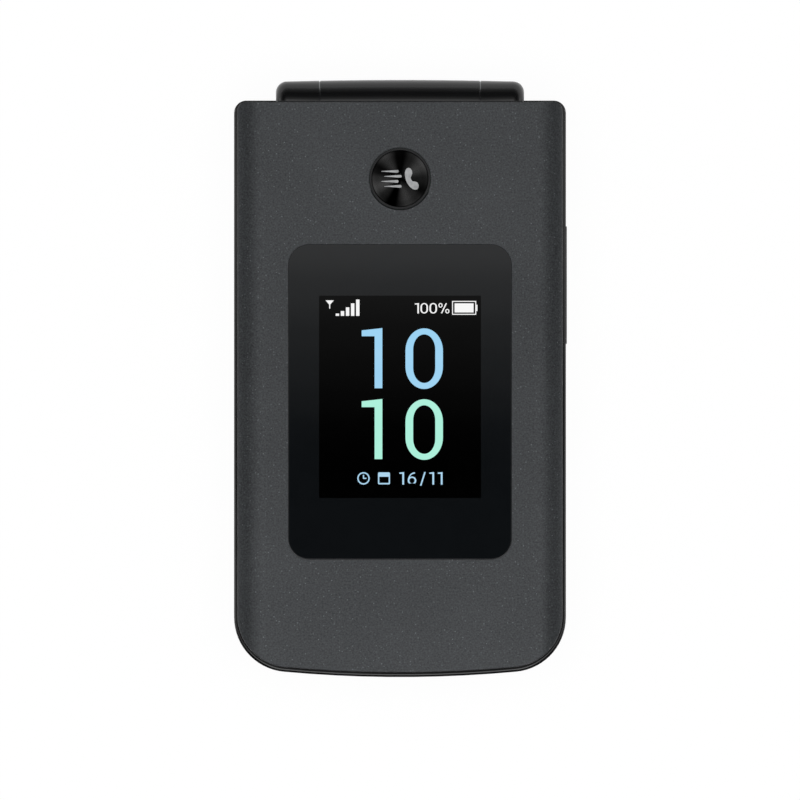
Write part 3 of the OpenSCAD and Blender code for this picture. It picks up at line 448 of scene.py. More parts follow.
bm = bmesh.new()
plate(bm, oblong(-LIP_HALF, LIP_HALF, LIP_Y0, LIP_Y1), LIP_Z0, LIP_Z1)
for v in bm.verts:
    if v.co.z > (LIP_Z0 + 0.03) * MM and v.co.y < (LIP_Y0 + 0.1) * MM:
        v.co.z -= LIP_FALL * MM
soften(bm, sharp_edges(bm, lambda m, n: m.z > LIP_Z0 + 0.03 and m.y > LIP_Y1 - 0.01), 0.04, 2)
piece(bm, "hinge_lip", "lid", frame_plastic)

# Outer cover of the lid: moulded in ABS and sprayed in graphite paint with fine metal flakes
# under a satin clear coat. The face rolls over towards both sides; it has a round hole for the
# call button and a pocket for the lens.
CALL_Y = 34.6
PAINT_DARK, PAINT_PALE = (0.017, 0.0186, 0.0204, 1), (0.055, 0.0590, 0.0628, 1)
FLAKE_PALE, FLAKE_SCALE = (0.105, 0.112, 0.12, 1), 2.2
graphite, shader, mm = surface(
    "graphite_paint", Metallic=0.62, Coat_Weight=0.0, Coat_Roughness=0.3)
cloud = grain(mm, 0.05, 2.0)
mottle = grain(mm, 3.4, 2.0, 0.7)
cells = {"Vector": mm, "Scale": FLAKE_SCALE}
flake = mm.node("ShaderNodeTexVoronoi", {"feature": "F1"}, cells)
flake_cell = mm.node("ShaderNodeTexVoronoi", {"feature": "F1"}, cells, "Color").parts()[0]
speck = (flake < 0.24) * flake_cell.between(0.74, 1.0)
tone = cloud * 0.15 + mottle * 0.85
feed(
    shader,
    Base_Color=speck.blend(tone.spread().blend(PAINT_DARK, PAINT_PALE), FLAKE_PALE),
    Roughness=mottle.spread(0.38, 0.44),
    Normal=bump(grain(mm, 4.0, 1.0), 0.22, 0.01),
)


def cover_rim(m, n, low):
    """True for an edge of the face's outer rim, above a level."""
    return outside(n, m) and m.z > low and n[1].z > 0.35


bm = merged("lid_outer_cover")
soften(bm, sharp_edges(bm, lambda m, n: m.y < 47.4 and cover_rim(m, n, 16.8), 50), 0.18)
soften(bm, sharp_edges(bm, lambda m, n: m.y > 47.0 and cover_rim(m, n, 17.8), 50), 0.08, 2)
pocket = sharp_edges(
    bm, lambda m, n: m.z > 18.45 and hypot(m.x, m.y - CALL_Y) > 7 and abs(m.x) < 20)
soften(bm, pocket, 0.06, 2)
piece(bm, "lid_cover", "lid", graphite, ["lid_outer_cover"])

# Lens over the outer display: hard-coated black acrylic, clear over the picture, with a thin
# ground edge. It is glued in its pocket, a tenth below the face.
LENS_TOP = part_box("outer_lens")[1][2] / MM
lens_black, shader, mm = surface("lens_black", Roughness=0.035)
feed(
    shader,
    Base_Color=grain(mm, 0.4).blend((0.0038, 0.0046, 0.0054, 1), (0.0050, 0.0060, 0.0070, 1)),
    Roughness=grain(mm, 0.15, 2.0).spread(0.025, 0.05),
)
bm = merged("outer_lens")
soften(bm, sharp_edges(bm, lambda m, n: m.z > LENS_TOP - 0.1), 0.07, 2)
piece(bm, "outer_lens_glass", "lid", lens_black, ["outer_lens"])

# Picture of the outer display, lit: a black ground with big clock digits, the signal, the
# battery, an alarm, a calendar page and the date. Each lies as a thin film on the lens.
PICTURE_W, PICTURE_L, PICTURE_Y = 28.03, 35.04, -3.19
GROUND = (LENS_TOP - 0.005, LENS_TOP + 0.006)
LIT = (LENS_TOP, LENS_TOP + 0.014)
VIEW_PX, MIDDLE_X, MIDDLE_Y = 0.173125, 400, 378.44
CLOCK_H, CLOCK_ROW = 60.4 * VIEW_PX, 70.9


def rounded(w, h, r, steps=10, tall=None):
    """The outline of a rounded rectangle round the origin; corners may be taller than wide."""
    tall = tall or r
    points = []
    for i, (sx, sy) in enumerate(((1, 1), (-1, 1), (-1, -1), (1, -1))):
        for k in range(steps + 1):
            a = (i + k / steps) * pi / 2
            points.append((sx * (w / 2 - r) + r * cos(a), sy * (h / 2 - tall) + tall * sin(a)))
    return points


def shifted(points, x, y):
    """Points moved by x and y."""
    return [(px + x, py + y) for px, py in points]


def figure(char):
    """The outlines of a figure one unit high, each with its holes, and its width."""
    if char == "0":
        ring = shifted(rounded(0.62, 1.004, 0.309, 12, 0.371), 0.31, 0.5)
        inside = shifted(rounded(0.366, 0.805, 0.182, 10, 0.248), 0.31, 0.5)
        return [(ring, [inside])], 0.62
    if char == "1":
        stroke = [(0.003, 0.960), (0.003, 0.863), (0.217, 0.863), (0.217, 0.002),
                  (0.345, 0.002), (0.345, 0.998)]
        return [(stroke, [])], 0.348
    if char == "6":
        turns = [radians(a) for a in range(180, 483, 15)]
        bowl = [(0.31 + 0.31 * cos(a), 0.325 + 0.325 * sin(a)) for a in turns]
        stem = [(0.20, 0.70), (0.29, 0.80), (0.40, 0.855), (0.52, 0.875), (0.52, 0.985),
                (0.38, 0.965), (0.19, 0.84), (0.06, 0.62), (0.005, 0.43)]
        inside = shifted(rounded(0.38, 0.43, 0.19, 8, 0.214), 0.31, 0.325)
        return [(bowl + stem, [inside])], 0.62
    if char == "%":
        ring = rounded(0.34, 0.44, 0.168, 6, 0.208)
        inside = rounded(0.17, 0.27, 0.082, 5, 0.132)
        rings = [(shifted(ring, x, y), [shifted(inside, x, y)])
                 for x, y in ((0.17, 0.78), (0.73, 0.22))]
        slash = [(0.20, 0.02), (0.31, 0.02), (0.70, 0.98), (0.59, 0.98)]
        return rings + [(slash, [])], 0.90
    if char == "/":
        return [([(0.0, -0.08), (0.11, -0.08), (0.42, 1.0), (0.31, 1.0)], [])], 0.42
    return [(shifted(rounded(0.15, 0.15, 0.02, 3), 0.08, y), []) for y in (0.24, 0.72)], 0.16


def figures(bm, text, height, x, y, z0, z1, place=0.5, wide=1.0, gap=0.26):
    """Plain figures as thin plates; a line starts at x, is centred there or ends there as
    place is 0, 0.5 or 1."""
    shapes = [figure(char) for char in text]
    left = -place * (sum(w for _, w in shapes) + gap * (len(shapes) - 1))
    for outlines, w in shapes:
        for outline, holes in outlines:
            put = [[(x + wide * height * (left + px), y + height * (py - 0.5))
                    for px, py in points] for points in (outline, *holes)]
            plate(bm, put[0], z0, z1, put[1:])
        left += w + gap


picture_black, shader, mm = surface("picture_black", Specular_IOR_Level=0.22)
feed(
    shader,
    Base_Color=grain(mm, 0.5).blend(grey(0.0002), grey(0.0005)),
    Roughness=grain(mm, 0.2).spread(0.03, 0.05),
)
bm = bmesh.new()
plate(bm, shifted(rounded(PICTURE_W, PICTURE_L, 0.15, 3), 0, PICTURE_Y), *GROUND)
piece(bm, "outer_picture", "lid", picture_black)


def glowing(name, colour):
    """A lit colour of a display, with the faint unevenness of its backlight."""
    made, shader, mm = surface(
        name, Emission_Strength=1.0, Roughness=0.1, Specular_IOR_Level=0.1)
    lit = grain(mm, 0.3).spread(0.0, 0.06)
    feed(
        shader,
        Base_Color=lit.blend(grey(0.0), grey(0.01)),
        Emission_Color=lit.blend((*colour, 1), grey(0.9)),
    )
    return made


def on_screen(px, py):
    """A place on the lens from a place in the view, which counts from the top left."""
    return (px - MIDDLE_X) * VIEW_PX, (MIDDLE_Y - py) * VIEW_PX


def screen_box(px0, px1, py0, py1):
    """A rectangle on the lens from its sides in the view."""
    x0, y1 = on_screen(px0, py0)
    x1, y0 = on_screen(px1, py1)
    return oblong(x0, x1, y0, y1)


lit_blue = glowing("display_blue", (0.323, 0.645, 0.896))
lit_mint = glowing("display_mint", (0.402, 0.871, 0.701))
lit_white = glowing("display_white", (0.93, 0.93, 0.93))
for row, (name, finish) in enumerate((("clock_hours", lit_blue), ("clock_minutes", lit_mint))):
    drop = row * CLOCK_ROW
    bm = bmesh.new()
    figures(bm, "1", CLOCK_H, *on_screen(361.5, 358.2 + drop), *LIT, 0)
    figures(bm, "0", CLOCK_H, *on_screen(424.2, 358.7 + drop), *LIT)
    piece(bm, name, "lid", finish)

BAR_LEFT, BAR_FOOT, BAR_W, BAR_STEP = 335.7, 315.9, 3.4, 5.09
bm = bmesh.new()
for i, top in enumerate((313.6, 311.1, 307.4, 303.4, 299.6)):
    left = BAR_LEFT + BAR_STEP * i
    plate(bm, screen_box(left, left + BAR_W, top, BAR_FOOT), *LIT)
mast = ((325.6, 300.4), (329.2, 304.6), (329.2, 308.6), (330.2, 308.6), (330.2, 304.6),
        (333.8, 300.4))
plate(bm, [on_screen(*p) for p in mast], *LIT)
figures(bm, "100%", 10.4 * VIEW_PX, *on_screen(449.4, 308.3), *LIT, 1, 1.17, 0.12)
plate(bm, screen_box(452.1, 476.2, 301.0, 314.8), *LIT, [screen_box(453.0, 475.3, 301.9, 313.9)])
plate(bm, screen_box(454.6, 473.6, 303.4, 312.5), *LIT)
plate(bm, screen_box(476.3, 477.4, 304.8, 311.1), *LIT)
piece(bm, "display_status", "lid", lit_white)

DATE_ROW = 478.4
bm = bmesh.new()
figures(bm, "16/11", 12.6 * VIEW_PX, *on_screen(442.6, DATE_ROW), *LIT, 1, 1.1)
page_x, page_y = on_screen(384.0, DATE_ROW)
page = rounded(12.0 * VIEW_PX, 12.0 * VIEW_PX, 0.2, 4)
page_body = rounded(9.4 * VIEW_PX, 6.2 * VIEW_PX, 0.05, 3)
plate(bm, shifted(page, page_x, page_y), *LIT,
      [shifted(page_body, page_x, page_y - 1.5 * VIEW_PX)])
alarm_at = on_screen(363.5, DATE_ROW)
alarm_rim = rounded(12.4 * VIEW_PX, 12.4 * VIEW_PX, 1.07, 8)
alarm_face = rounded(9.8 * VIEW_PX, 9.8 * VIEW_PX, 0.845, 8)
plate(bm, shifted(alarm_rim, *alarm_at), *LIT, [shifted(alarm_face, *alarm_at)])
alarm_hands = [(-0.1, -0.1), (0.5, -0.1), (0.5, 0.1), (0.1, 0.1), (0.1, 0.6), (-0.1, 0.6)]
plate(bm, shifted(alarm_hands, *alarm_at), *LIT)
lit_pale_blue = glowing("display_pale_blue", (0.40, 0.66, 0.86))
piece(bm, "display_date", "lid", lit_pale_blue)

# Quick-call button: a ring of satin black plastic, clipped into the cover, round a dished metal
# disc. The disc is turned on a lathe and dyed black; the fans of light round its middle are
# painted highlights in its colour. A handset with four speed bars is printed on it.
ring_black = moulded(
    "ring_black", (0.008, 0.0084, 0.0089, 1), (0.012, 0.0125, 0.013, 1), 0.55,
    Specular_IOR_Level=0.2)
bm = merged("quick_call_ring")
soften(bm, sharp_edges(bm, lambda m, n: m.z > 18.5), 0.06, 3)
piece(bm, "call_ring", "lid", ring_black, ["quick_call_ring"])

TURNING = 70.0
disc_metal, shader, mm = surface("disc_metal", Metallic=1.0)
x, y, _ = mm.parts()
y = y - CALL_Y
radius = x.reach(y)
turn = x.math("ARCTAN2", y, x).between(-pi, pi)
# Painted highlights: the fans of light of a turned disc, laid into its colour by the angle round
# its middle and fading towards the middle.
painted_fan_highlights = turn.node("ShaderNodeValToRGB", {"stops": [
    (0.0, 0.50), (0.055, 1.0), (0.125, 0.22), (0.18, 0.0), (0.215, 0.0), (0.30, 0.68),
    (0.36, 0.32), (0.42, 0.05), (0.50, 0.20), (0.59, 0.90), (0.67, 0.25), (0.73, 0.02),
    (0.77, 0.03), (0.845, 0.64), (0.92, 0.06), (0.955, 0.1), (1.0, 0.50),
]}, {0: turn}) * radius.between(0.2, 2.2)
rings = (radius * TURNING).sine()
feed(
    shader,
    Base_Color=painted_fan_highlights.blend(grey(0.0), grey(0.045)),
    Roughness=rings.between(-1.0, 1.0, 0.26, 0.34),
    Normal=bump(rings, 0.12, 0.002),
)
bm = merged("quick_call_button")
soften(bm, sharp_edges(bm, lambda m, n: m.z > 18.2), 0.05, 2)
piece(bm, "call_disc", "quick_call_button", disc_metal, ["quick_call_button"])

DISH_R, DISH_Z, DISH_RISE, DISH_PRINT = 60.0, 18.15, 0.002, 0.02
CLOSE_X, CLOSE_Y, CLOSE_UP = 340, 140, 13.07
BAR_THIN_R, BAR_THICK_R = 0.05, 0.245
HANDSET_SPAN = 220
HANDSET = (
    (-16, 144), (-42, 155), (-68, 148), (-88, 123), (-97, 88), (-95, 38), (-83, -17), (-60, -67),
    (-28, -110), (12, -142), (47, -154), (77, -147), (96, -122), (98, -87), (80, -52), (47, -37),
    (12, -37), (-8, -12), (-16, 20), (-2, 46), (7, 78), (2, 116),
)


def on_disc(cx, cy):
    """A place on the disc from a place in its close view."""
    return on_screen(CLOSE_X + cx / CLOSE_UP, CLOSE_Y + cy / CLOSE_UP)


def rest_on_dish(bm):
    """Lays a flat print on the dished disc."""
    for v in bm.verts:
        r = hypot(v.co.x, v.co.y - CALL_Y * MM) / MM
        v.co.z += (DISH_Z + r * r / (2 * DISH_R) + DISH_RISE) * MM


def capsule(x0, y0, r0, x1, y1, r1, steps=9):
    """Outline of a bar whose two round ends differ in radius."""
    along = atan2(y1 - y0, x1 - x0)
    points = []
    for x, y, r, start in ((x0, y0, r0, along + pi / 2), (x1, y1, r1, along - pi / 2)):
        for k in range(steps + 1):
            a = start + pi * k / steps
            points.append((x + r * cos(a), y + r * sin(a)))
    return points


def handset(x, y, size, turn):
    """Outline of a telephone handset, its two round ends a size apart, turned by an angle."""
    c, s = (f(radians(turn)) * size / HANDSET_SPAN for f in (cos, sin))
    return [(x + px * c - py * s, y + px * s + py * c) for px, py in HANDSET]


print_grey, shader, mm = surface("print_grey", Metallic=0.3)
feed(
    shader,
    Base_Color=grain(mm, 1.1).spread().blend((0.24, 0.245, 0.25, 1), (0.36, 0.365, 0.37, 1)),
    Roughness=grain(mm, 5.0).spread(0.35, 0.5),
)
bm = bmesh.new()
for left, right, level in ((544, 749, 410), (582, 788, 475), (544, 746, 541), (582, 788, 606)):
    bar = capsule(*on_disc(left, level), BAR_THIN_R, *on_disc(right, level), BAR_THICK_R)
    plate(bm, bar, 0, DISH_PRINT)
rest_on_dish(bm)
piece(bm, "call_bars", "quick_call_button", print_grey)
bm = bmesh.new()
plate(bm, handset(*on_disc(938, 508), 2.71, 0), 0, DISH_PRINT)
rest_on_dish(bm)
piece(bm, "call_handset", "quick_call_button", print_grey)

# Inner lens: black printed acrylic on the inner side of the lid, glued level with the cover,
# with the same thin ground edge as the outer one.
bm = merged("inner_lens")
soften(bm, sharp_edges(bm, lambda m, n: m.z < 11.2), 0.07, 2)
piece(bm, "inner_lens_glass", "lid", lens_black, ["inner_lens"])

# Picture of the inner display, lit: a plain wallpaper with status marks, the time and date, and
# two menu marks over the soft keys. It is read with the lid open, so it is built upright and
# turned over.
HOME_W, HOME_L, HOME_Y = 43.2, 57.6, 5.9
HOME_TOP, HOME_LOW = HOME_Y + HOME_L / 2, HOME_Y - HOME_L / 2
WALL_Z, HOME_Z = (-11.105, -11.096), (-11.10, -11.09)
MENU_X, STATUS_Y = 17.6, HOME_TOP - 2.6
OVER = Matrix.Rotation(pi, 4, "X")


def home_piece(bm, name, finish):
    """A part of the inner picture, turned over to face the keypad."""
    bmesh.ops.transform(bm, matrix=OVER, verts=bm.verts)
    piece(bm, name, "lid", finish)


wallpaper, shader, mm = surface(
    "wallpaper", Emission_Strength=0.55, Roughness=0.05, Specular_IOR_Level=0.3)
x, y, _ = mm.parts()
hill = (x - 14.0).reach(y + 22.0).between(8.0, 46.0)
wave = (x * 0.11 + y * 0.07).sine() * 0.5 + 0.5
ground = hill.blend((0.05, 0.42, 0.55, 1), (0.01, 0.035, 0.12, 1))
feed(
    shader,
    Emission_Color=(wave * 0.35).blend(ground, (0.02, 0.20, 0.32, 1)),
    Base_Color=grain(mm, 0.5).blend(grey(0.0), grey(0.01)),
)
bm = bmesh.new()
plate(bm, shifted(rounded(HOME_W, HOME_L, 0.2, 3), 0, HOME_Y), *WALL_Z)
home_piece(bm, "inner_picture", wallpaper)

home_white = glowing("home_white", (0.85, 0.87, 0.9))
bm = bmesh.new()
for i in range(5):
    left = -19.4 + 1.0 * i
    plate(bm, oblong(left, left + 0.6, HOME_TOP - 3.6, HOME_TOP - 3.0 + 0.45 * i), *HOME_Z)
plate(bm, shifted(rounded(4.2, 2.2, 0.3, 3), 16.8, STATUS_Y), *HOME_Z,
      [shifted(rounded(3.7, 1.7, 0.2, 3), 16.8, STATUS_Y)])
plate(bm, shifted(rounded(3.1, 1.1, 0.1, 3), 16.6, STATUS_Y), *HOME_Z)
plate(bm, shifted(rounded(0.3, 0.9, 0.05, 3), 19.1, STATUS_Y), *HOME_Z)
figures(bm, "10:10", 9.0, 0, HOME_Y + 10.5, *HOME_Z)
figures(bm, "16/11", 3.0, 0, HOME_Y + 1.0, *HOME_Z)
for i in range(3):
    plate(bm, shifted(rounded(3.6, 0.6, 0.28, 4), -MENU_X, HOME_LOW + 2.0 + 1.15 * i), *HOME_Z)
plate(bm, shifted(rounded(1.7, 1.7, 0.84, 8), MENU_X, HOME_LOW + 4.0), *HOME_Z)
plate(bm, shifted(rounded(3.4, 1.5, 0.7, 8), MENU_X, HOME_LOW + 2.1), *HOME_Z)
home_piece(bm, "home_marks", home_white)

# Keypad cover of the base: the same black frame plastic, with the two side knuckles of the hinge
# and the sunk keypad panel, which has a duller spark texture.
PANEL_LOW, PANEL_HIGH = 9.0, 10.3
panel_plastic, shader, mm = surface("panel_plastic")
cloud, spark = grain(mm, 0.09, 3.0), grain(mm, 5.0, 1.0)
height = mm.parts()[2]
sunk = (height < PANEL_HIGH) * (height > PANEL_LOW)
feed(
    shader,
    Base_Color=(cloud * 0.6 + spark * 0.4).blend(FRAME_DARK, FRAME_PALE),
    Roughness=cloud.spread(0.10, 0.14) + sunk * 0.25 + spark * 0.04,
    Normal=bump(spark * (sunk * 0.8 + 0.2), 0.6, 0.006),
)
bm = merged("keypad_cover")
soften(bm, sharp_edges(bm, lambda m, n: outside(n, m) and m.z > 10.5 and m.y < 46), RIM_R)
piece(bm, "keypad_frame", "base", panel_plastic, ["keypad_cover"])

# Thrust washers: thin blued steel rings on the hinge axis, one in each slit between the middle
# barrel and a side knuckle, a little smaller than the barrel. Their colour is painted light
# towards the outside of the hinge and painted shade under the lid, with a slight unevenness of
# wear.
WASHER_X, WASHER_R, WASHER_BORE, WASHER_T = 13.94, 4.34, 2.7, 0.17
washer_steel, shader, mm = surface("washer_steel", Metallic=1.0)
# Painted light and shade: pale towards the outside of the hinge and dark under the lid.
painted_shade_and_wear = mm.parts()[1].between(48.4, 50.4) * grain(mm, 1.6, 2.0).spread(0.85, 1.0)
feed(
    shader,
    Base_Color=painted_shade_and_wear.blend((0.03, 0.03, 0.032, 1), (0.22, 0.225, 0.23, 1)),
    Roughness=grain(mm, 4.0).spread(0.14, 0.2),
)
for side, name in ((-1, "washer_left"), (1, "washer_right")):
    bm = bmesh.new()
    plate(bm, rounded(2 * WASHER_R, 2 * WASHER_R, WASHER_R - 0.001, 24),
          -WASHER_T / 2, WASHER_T / 2,
          [rounded(2 * WASHER_BORE, 2 * WASHER_BORE, WASHER_BORE - 0.001, 16)])
    on_axis = Matrix.Translation((side * WASHER_X * MM, AXIS_Y * MM, AXIS_Z * MM))
    bmesh.ops.transform(bm, verts=bm.verts, matrix=on_axis @ Matrix.Rotation(pi / 2, 4, "Y"))
    piece(bm, name, "base", washer_steel)

# Keys: separate caps of satin black plastic with white printed figures; call is green and end is
# red. Each cap is crowned across its width, and its figures follow the crown.
KEY_TOP, CROWN_R, PRINT_T = 10.55, 90.0, 0.012
KEY_X, SOFT_X, NAV_Y = 16.2, 19.2, 18.6
CALL_ROW_Y, ROW_Y = 0.2, (-10.4, -21.0, -31.6, -42.2)
FIGURE_H, LETTER_H, FIGURE_X, LETTER_X = 4.6, 1.55, -2.9, 2.9
FONT_FIGURE = 0.729
key_plastic = moulded(
    "key_plastic", (0.011, 0.0115, 0.012, 1), (0.017, 0.0175, 0.018, 1), 0.36, 5.0, 0.003)


def key_print(name, dark, pale):
    """Printed ink of one colour, a little uneven in tone and gloss."""
    made, shader, mm = surface(name)
    feed(
        shader,
        Base_Color=grain(mm, 2.0).blend((*dark, 1), (*pale, 1)),
        Roughness=grain(mm, 6.0).spread(0.4, 0.55),
    )
    return made


def keycap(node):
    """The cap of a key, its rim broken by a small radius."""
    bm = merged(node)
    soften(bm, sharp_edges(bm, lambda m, n: m.z > 10.0), 0.18, 3)
    piece(bm, node + "_cap", node, key_plastic, [node])


def glyphs(bm, text, height, x, y):
    """Text from the built-in font as a thin solid, its figures a height, centred on a place."""
    curve = bpy.data.curves.new("glyphs", "FONT")
    curve.body = text
    curve.align_x = "CENTER"
    curve.align_y = "BOTTOM_BASELINE"
    curve.size = height * MM / FONT_FIGURE
    curve.extrude = PRINT_T * MM / 2
    curve.resolution_u = 4
    maker = bpy.data.objects.new("glyphs", curve)
    scene.collection.objects.link(maker)
    mesh = bpy.data.meshes.new_from_object(maker)
    bpy.data.objects.remove(maker)
    mesh.transform(Matrix.Translation((x * MM, (y - height / 2) * MM, PRINT_T / 2 * MM)))
    bm.from_mesh(mesh)
    bpy.data.meshes.remove(mesh)
    bmesh.ops.remove_doubles(bm, verts=bm.verts[:], dist=1e-7)


def legend(bm, node, finish, key_x):
    """A flat print, cut into strips a millimetre wide and laid on the crown of a key."""
    for k in range(-7, 8):
        bmesh.ops.bisect_plane(
            bm, geom=bm.verts[:] + bm.edges[:] + bm.faces[:],
            plane_co=((key_x + k) * MM, 0, 0), plane_no=(1, 0, 0))
    for v in bm.verts:
        across = v.co.x / MM - key_x
        v.co.z += (KEY_TOP - across * across / (2 * CROWN_R)) * MM
    piece(bm, node + "_print", node, finish)


legend_white = key_print("legend_white", (0.62, 0.63, 0.64), (0.72, 0.73, 0.74))
legend_green = key_print("legend_green", (0.03, 0.42, 0.06), (0.045, 0.52, 0.08))
legend_red = key_print("legend_red", (0.50, 0.02, 0.02), (0.60, 0.03, 0.03))
number_keys = (
    (("key_1", "1", ""), ("key_2", "2", "ABC"), ("key_3", "3", "DEF")),
    (("key_4", "4", "GHI"), ("key_5", "5", "JKL"), ("key_6", "6", "MNO")),
    (("key_7", "7", "PQRS"), ("key_8", "8", "TUV"), ("key_9", "9", "WXYZ")),
    (("key_star", "*", ""), ("key_0", "0", "+"), ("key_hash", "#", "")),
)
for key_y, row in zip(ROW_Y, number_keys):
    for key_x, (node, number, letters) in zip((-KEY_X, 0.0, KEY_X), row):
        keycap(node)
        bm = bmesh.new()
        if number == "*":
            glyphs(bm, number, 5.6, key_x, key_y - 1.7)
        elif number == "1":
            figures(bm, number, FIGURE_H, key_x, key_y, 0, PRINT_T)
        else:
            glyphs(bm, number, FIGURE_H, key_x + (FIGURE_X if letters else 0), key_y)
        if letters:
            glyphs(bm, letters, 2.6 if letters == "+" else LETTER_H, key_x + LETTER_X, key_y)
        legend(bm, node, legend_white, key_x)

for key_x, node, turn, finish in (
        (-KEY_X, "call_key", 0, legend_green), (KEY_X, "end_key", -115, legend_red)):
    keycap(node)
    bm = bmesh.new()
    plate(bm, handset(key_x, CALL_ROW_Y, 3.6, turn), 0, PRINT_T)
    legend(bm, node, finish, key_x)
keycap("clear_key")
bm = bmesh.new()
glyphs(bm, "C", 4.2, 0, CALL_ROW_Y)
legend(bm, "clear_key", legend_white, 0.0)
for key_x, node in ((-SOFT_X, "soft_key_left"), (SOFT_X, "soft_key_right")):
    keycap(node)
    bm = bmesh.new()
    plate(bm, shifted(rounded(4.2, 0.9, 0.44, 6), key_x, NAV_Y), 0, PRINT_T)
    legend(bm, node, legend_white, key_x)

# Navigation ring: zinc casting, plated and brushed round, with four small printed arrows; the OK
# key stands in its middle.
RING_TOP, ARROW_SIDE, ARROW_END = 10.5, 8.9, 8.2
nav_metal, shader, mm = surface("nav_metal", Metallic=1.0)
x, y, _ = mm.parts()
lines = grain(x.reach(y - NAV_Y) * 9.0, 1.0, 3.0)
feed(
    shader,
    Base_Color=grain(mm, 0.3).blend(grey(0.17), grey(0.22)),
    Roughness=lines.spread(0.26, 0.38),
    Normal=bump(lines, 0.25, 0.004),
)
bm = merged("nav_ring")
soften(bm, sharp_edges(bm, lambda m, n: m.z > 10.3), 0.22)
piece(bm, "nav_ring_plate", "nav_ring", nav_metal, ["nav_ring"])
bm = bmesh.new()
for quarter in range(4):
    c, s = cos(quarter * pi / 2), sin(quarter * pi / 2)
    reach = ARROW_END if quarter % 2 else ARROW_SIDE
    arrow = ((reach + 0.7, 0.0), (reach - 0.35, 0.85), (reach - 0.35, -0.85))
    turned = [(ax * c - ay * s, NAV_Y + ax * s + ay * c) for ax, ay in arrow]
    plate(bm, turned, RING_TOP, RING_TOP + PRINT_T)
piece(bm, "nav_arrows", "nav_ring", legend_white)
keycap("ok_key")
bm = bmesh.new()
plate(bm, shifted(rounded(3.2, 3.2, 0.8, 6), 0, NAV_Y), 0, PRINT_T,
      [shifted(rounded(2.3, 2.3, 0.4, 5), 0, NAV_Y)])
legend(bm, "ok_key", legend_white, 0.0)

# Rear case and battery cover: black plastic, spark-eroded to a fine matt texture. The cover
# closes the battery well and clips in flush.
case_plastic = moulded(
    "case_plastic", (0.0075, 0.0078, 0.0082, 1), (0.012, 0.0125, 0.013, 1), 0.42, 4.0, 0.006)
for node, name in (("rear_case", "rear_shell"), ("battery_cover", "battery_door")):
    piece(merged(node), name, "base", case_plastic, [node], 30)

# Camera window in the back: black printed acrylic; a clear round in a plated trim over the lens,
# and a pale diffuser over the flash.
CAMERA_X, FLASH_X, WINDOW_Y, WINDOW_Z = -4.0, 5.0, 33.4, 0.25
bm = merged("camera_window")
soften(bm, sharp_edges(bm, lambda m, n: m.z < 0.35), 0.06, 2)
piece(bm, "camera_window_glass", "base", lens_black, ["camera_window"])


def window_round(width, x, steps=16):
    """The outline of a round in the camera window."""
    return shifted(rounded(width, width, width / 2 - 0.01, steps), x, WINDOW_Y)


trim_metal, shader, mm = surface("trim_metal", Metallic=1.0)
feed(
    shader,
    Base_Color=grain(mm, 1.0).blend(grey(0.16), grey(0.22)),
    Roughness=grain(mm, 4.0).spread(0.22, 0.32),
)
bm = bmesh.new()
plate(bm, window_round(6.2, CAMERA_X), WINDOW_Z - 0.05, WINDOW_Z + 0.02,
      [window_round(5.4, CAMERA_X)])
piece(bm, "camera_trim", "base", trim_metal)

lens_glass, shader, mm = surface("lens_glass", Roughness=0.02, Coat_Weight=0.5)
x, y, _ = mm.parts()
radius = (x - CAMERA_X).reach(y - WINDOW_Y)
feed(
    shader,
    Base_Color=radius.node("ShaderNodeValToRGB", {"stops": [
        (0.0, (0.004, 0.002, 0.012)), (0.40, (0.012, 0.004, 0.030)),
        (0.46, (0.05, 0.05, 0.055)), (0.52, (0.006, 0.006, 0.007)),
        (0.80, (0.010, 0.010, 0.011)), (1.0, (0.003, 0.003, 0.003)),
    ]}, {0: radius.between(0.0, 2.7)}),
    Roughness=grain(mm, 1.0).spread(0.02, 0.05),
)
bm = bmesh.new()
plate(bm, window_round(5.38, CAMERA_X), WINDOW_Z - 0.012, WINDOW_Z + 0.02)
piece(bm, "camera_eye", "base", lens_glass)

flash_white, shader, mm = surface("flash_white", Roughness=0.2)
x, y, _ = mm.parts()
radius = (x - FLASH_X).reach(y - WINDOW_Y)
feed(
    shader,
    Base_Color=radius.between(0.2, 0.9).blend((0.62, 0.52, 0.16, 1), (0.62, 0.62, 0.58, 1)),
    Normal=bump((radius * 26.0).sine(), 0.5, 0.02),
)
bm = bmesh.new()
plate(bm, window_round(2.8, FLASH_X, 12), WINDOW_Z - 0.01, WINDOW_Z + 0.02)
piece(bm, "flash_eye", "base", flash_white)

# Mesh cloth behind the loudspeaker slots: woven fine and black, and glued to the inner side of
# the battery cover to keep dust off the loudspeaker.
GRILLE_X, GRILLE_Y, WEAVE = 16.5, 33.4, 24.0
mesh_cloth, shader, mm = surface("mesh_cloth", Roughness=0.8)
x, y, _ = mm.parts()
weave = (x * WEAVE).sine() * (y * WEAVE).sine()
feed(
    shader,
    Base_Color=weave.between(-0.5, 0.6).blend(grey(0.003), grey(0.03)),
    Normal=bump(weave, 0.6, 0.02),
)
bm = bmesh.new()
plate(bm, shifted(rounded(11.5, 7.5, 1.0, 5), GRILLE_X, GRILLE_Y), 1.02, 1.08)
piece(bm, "grille_mesh", "base", mesh_cloth)

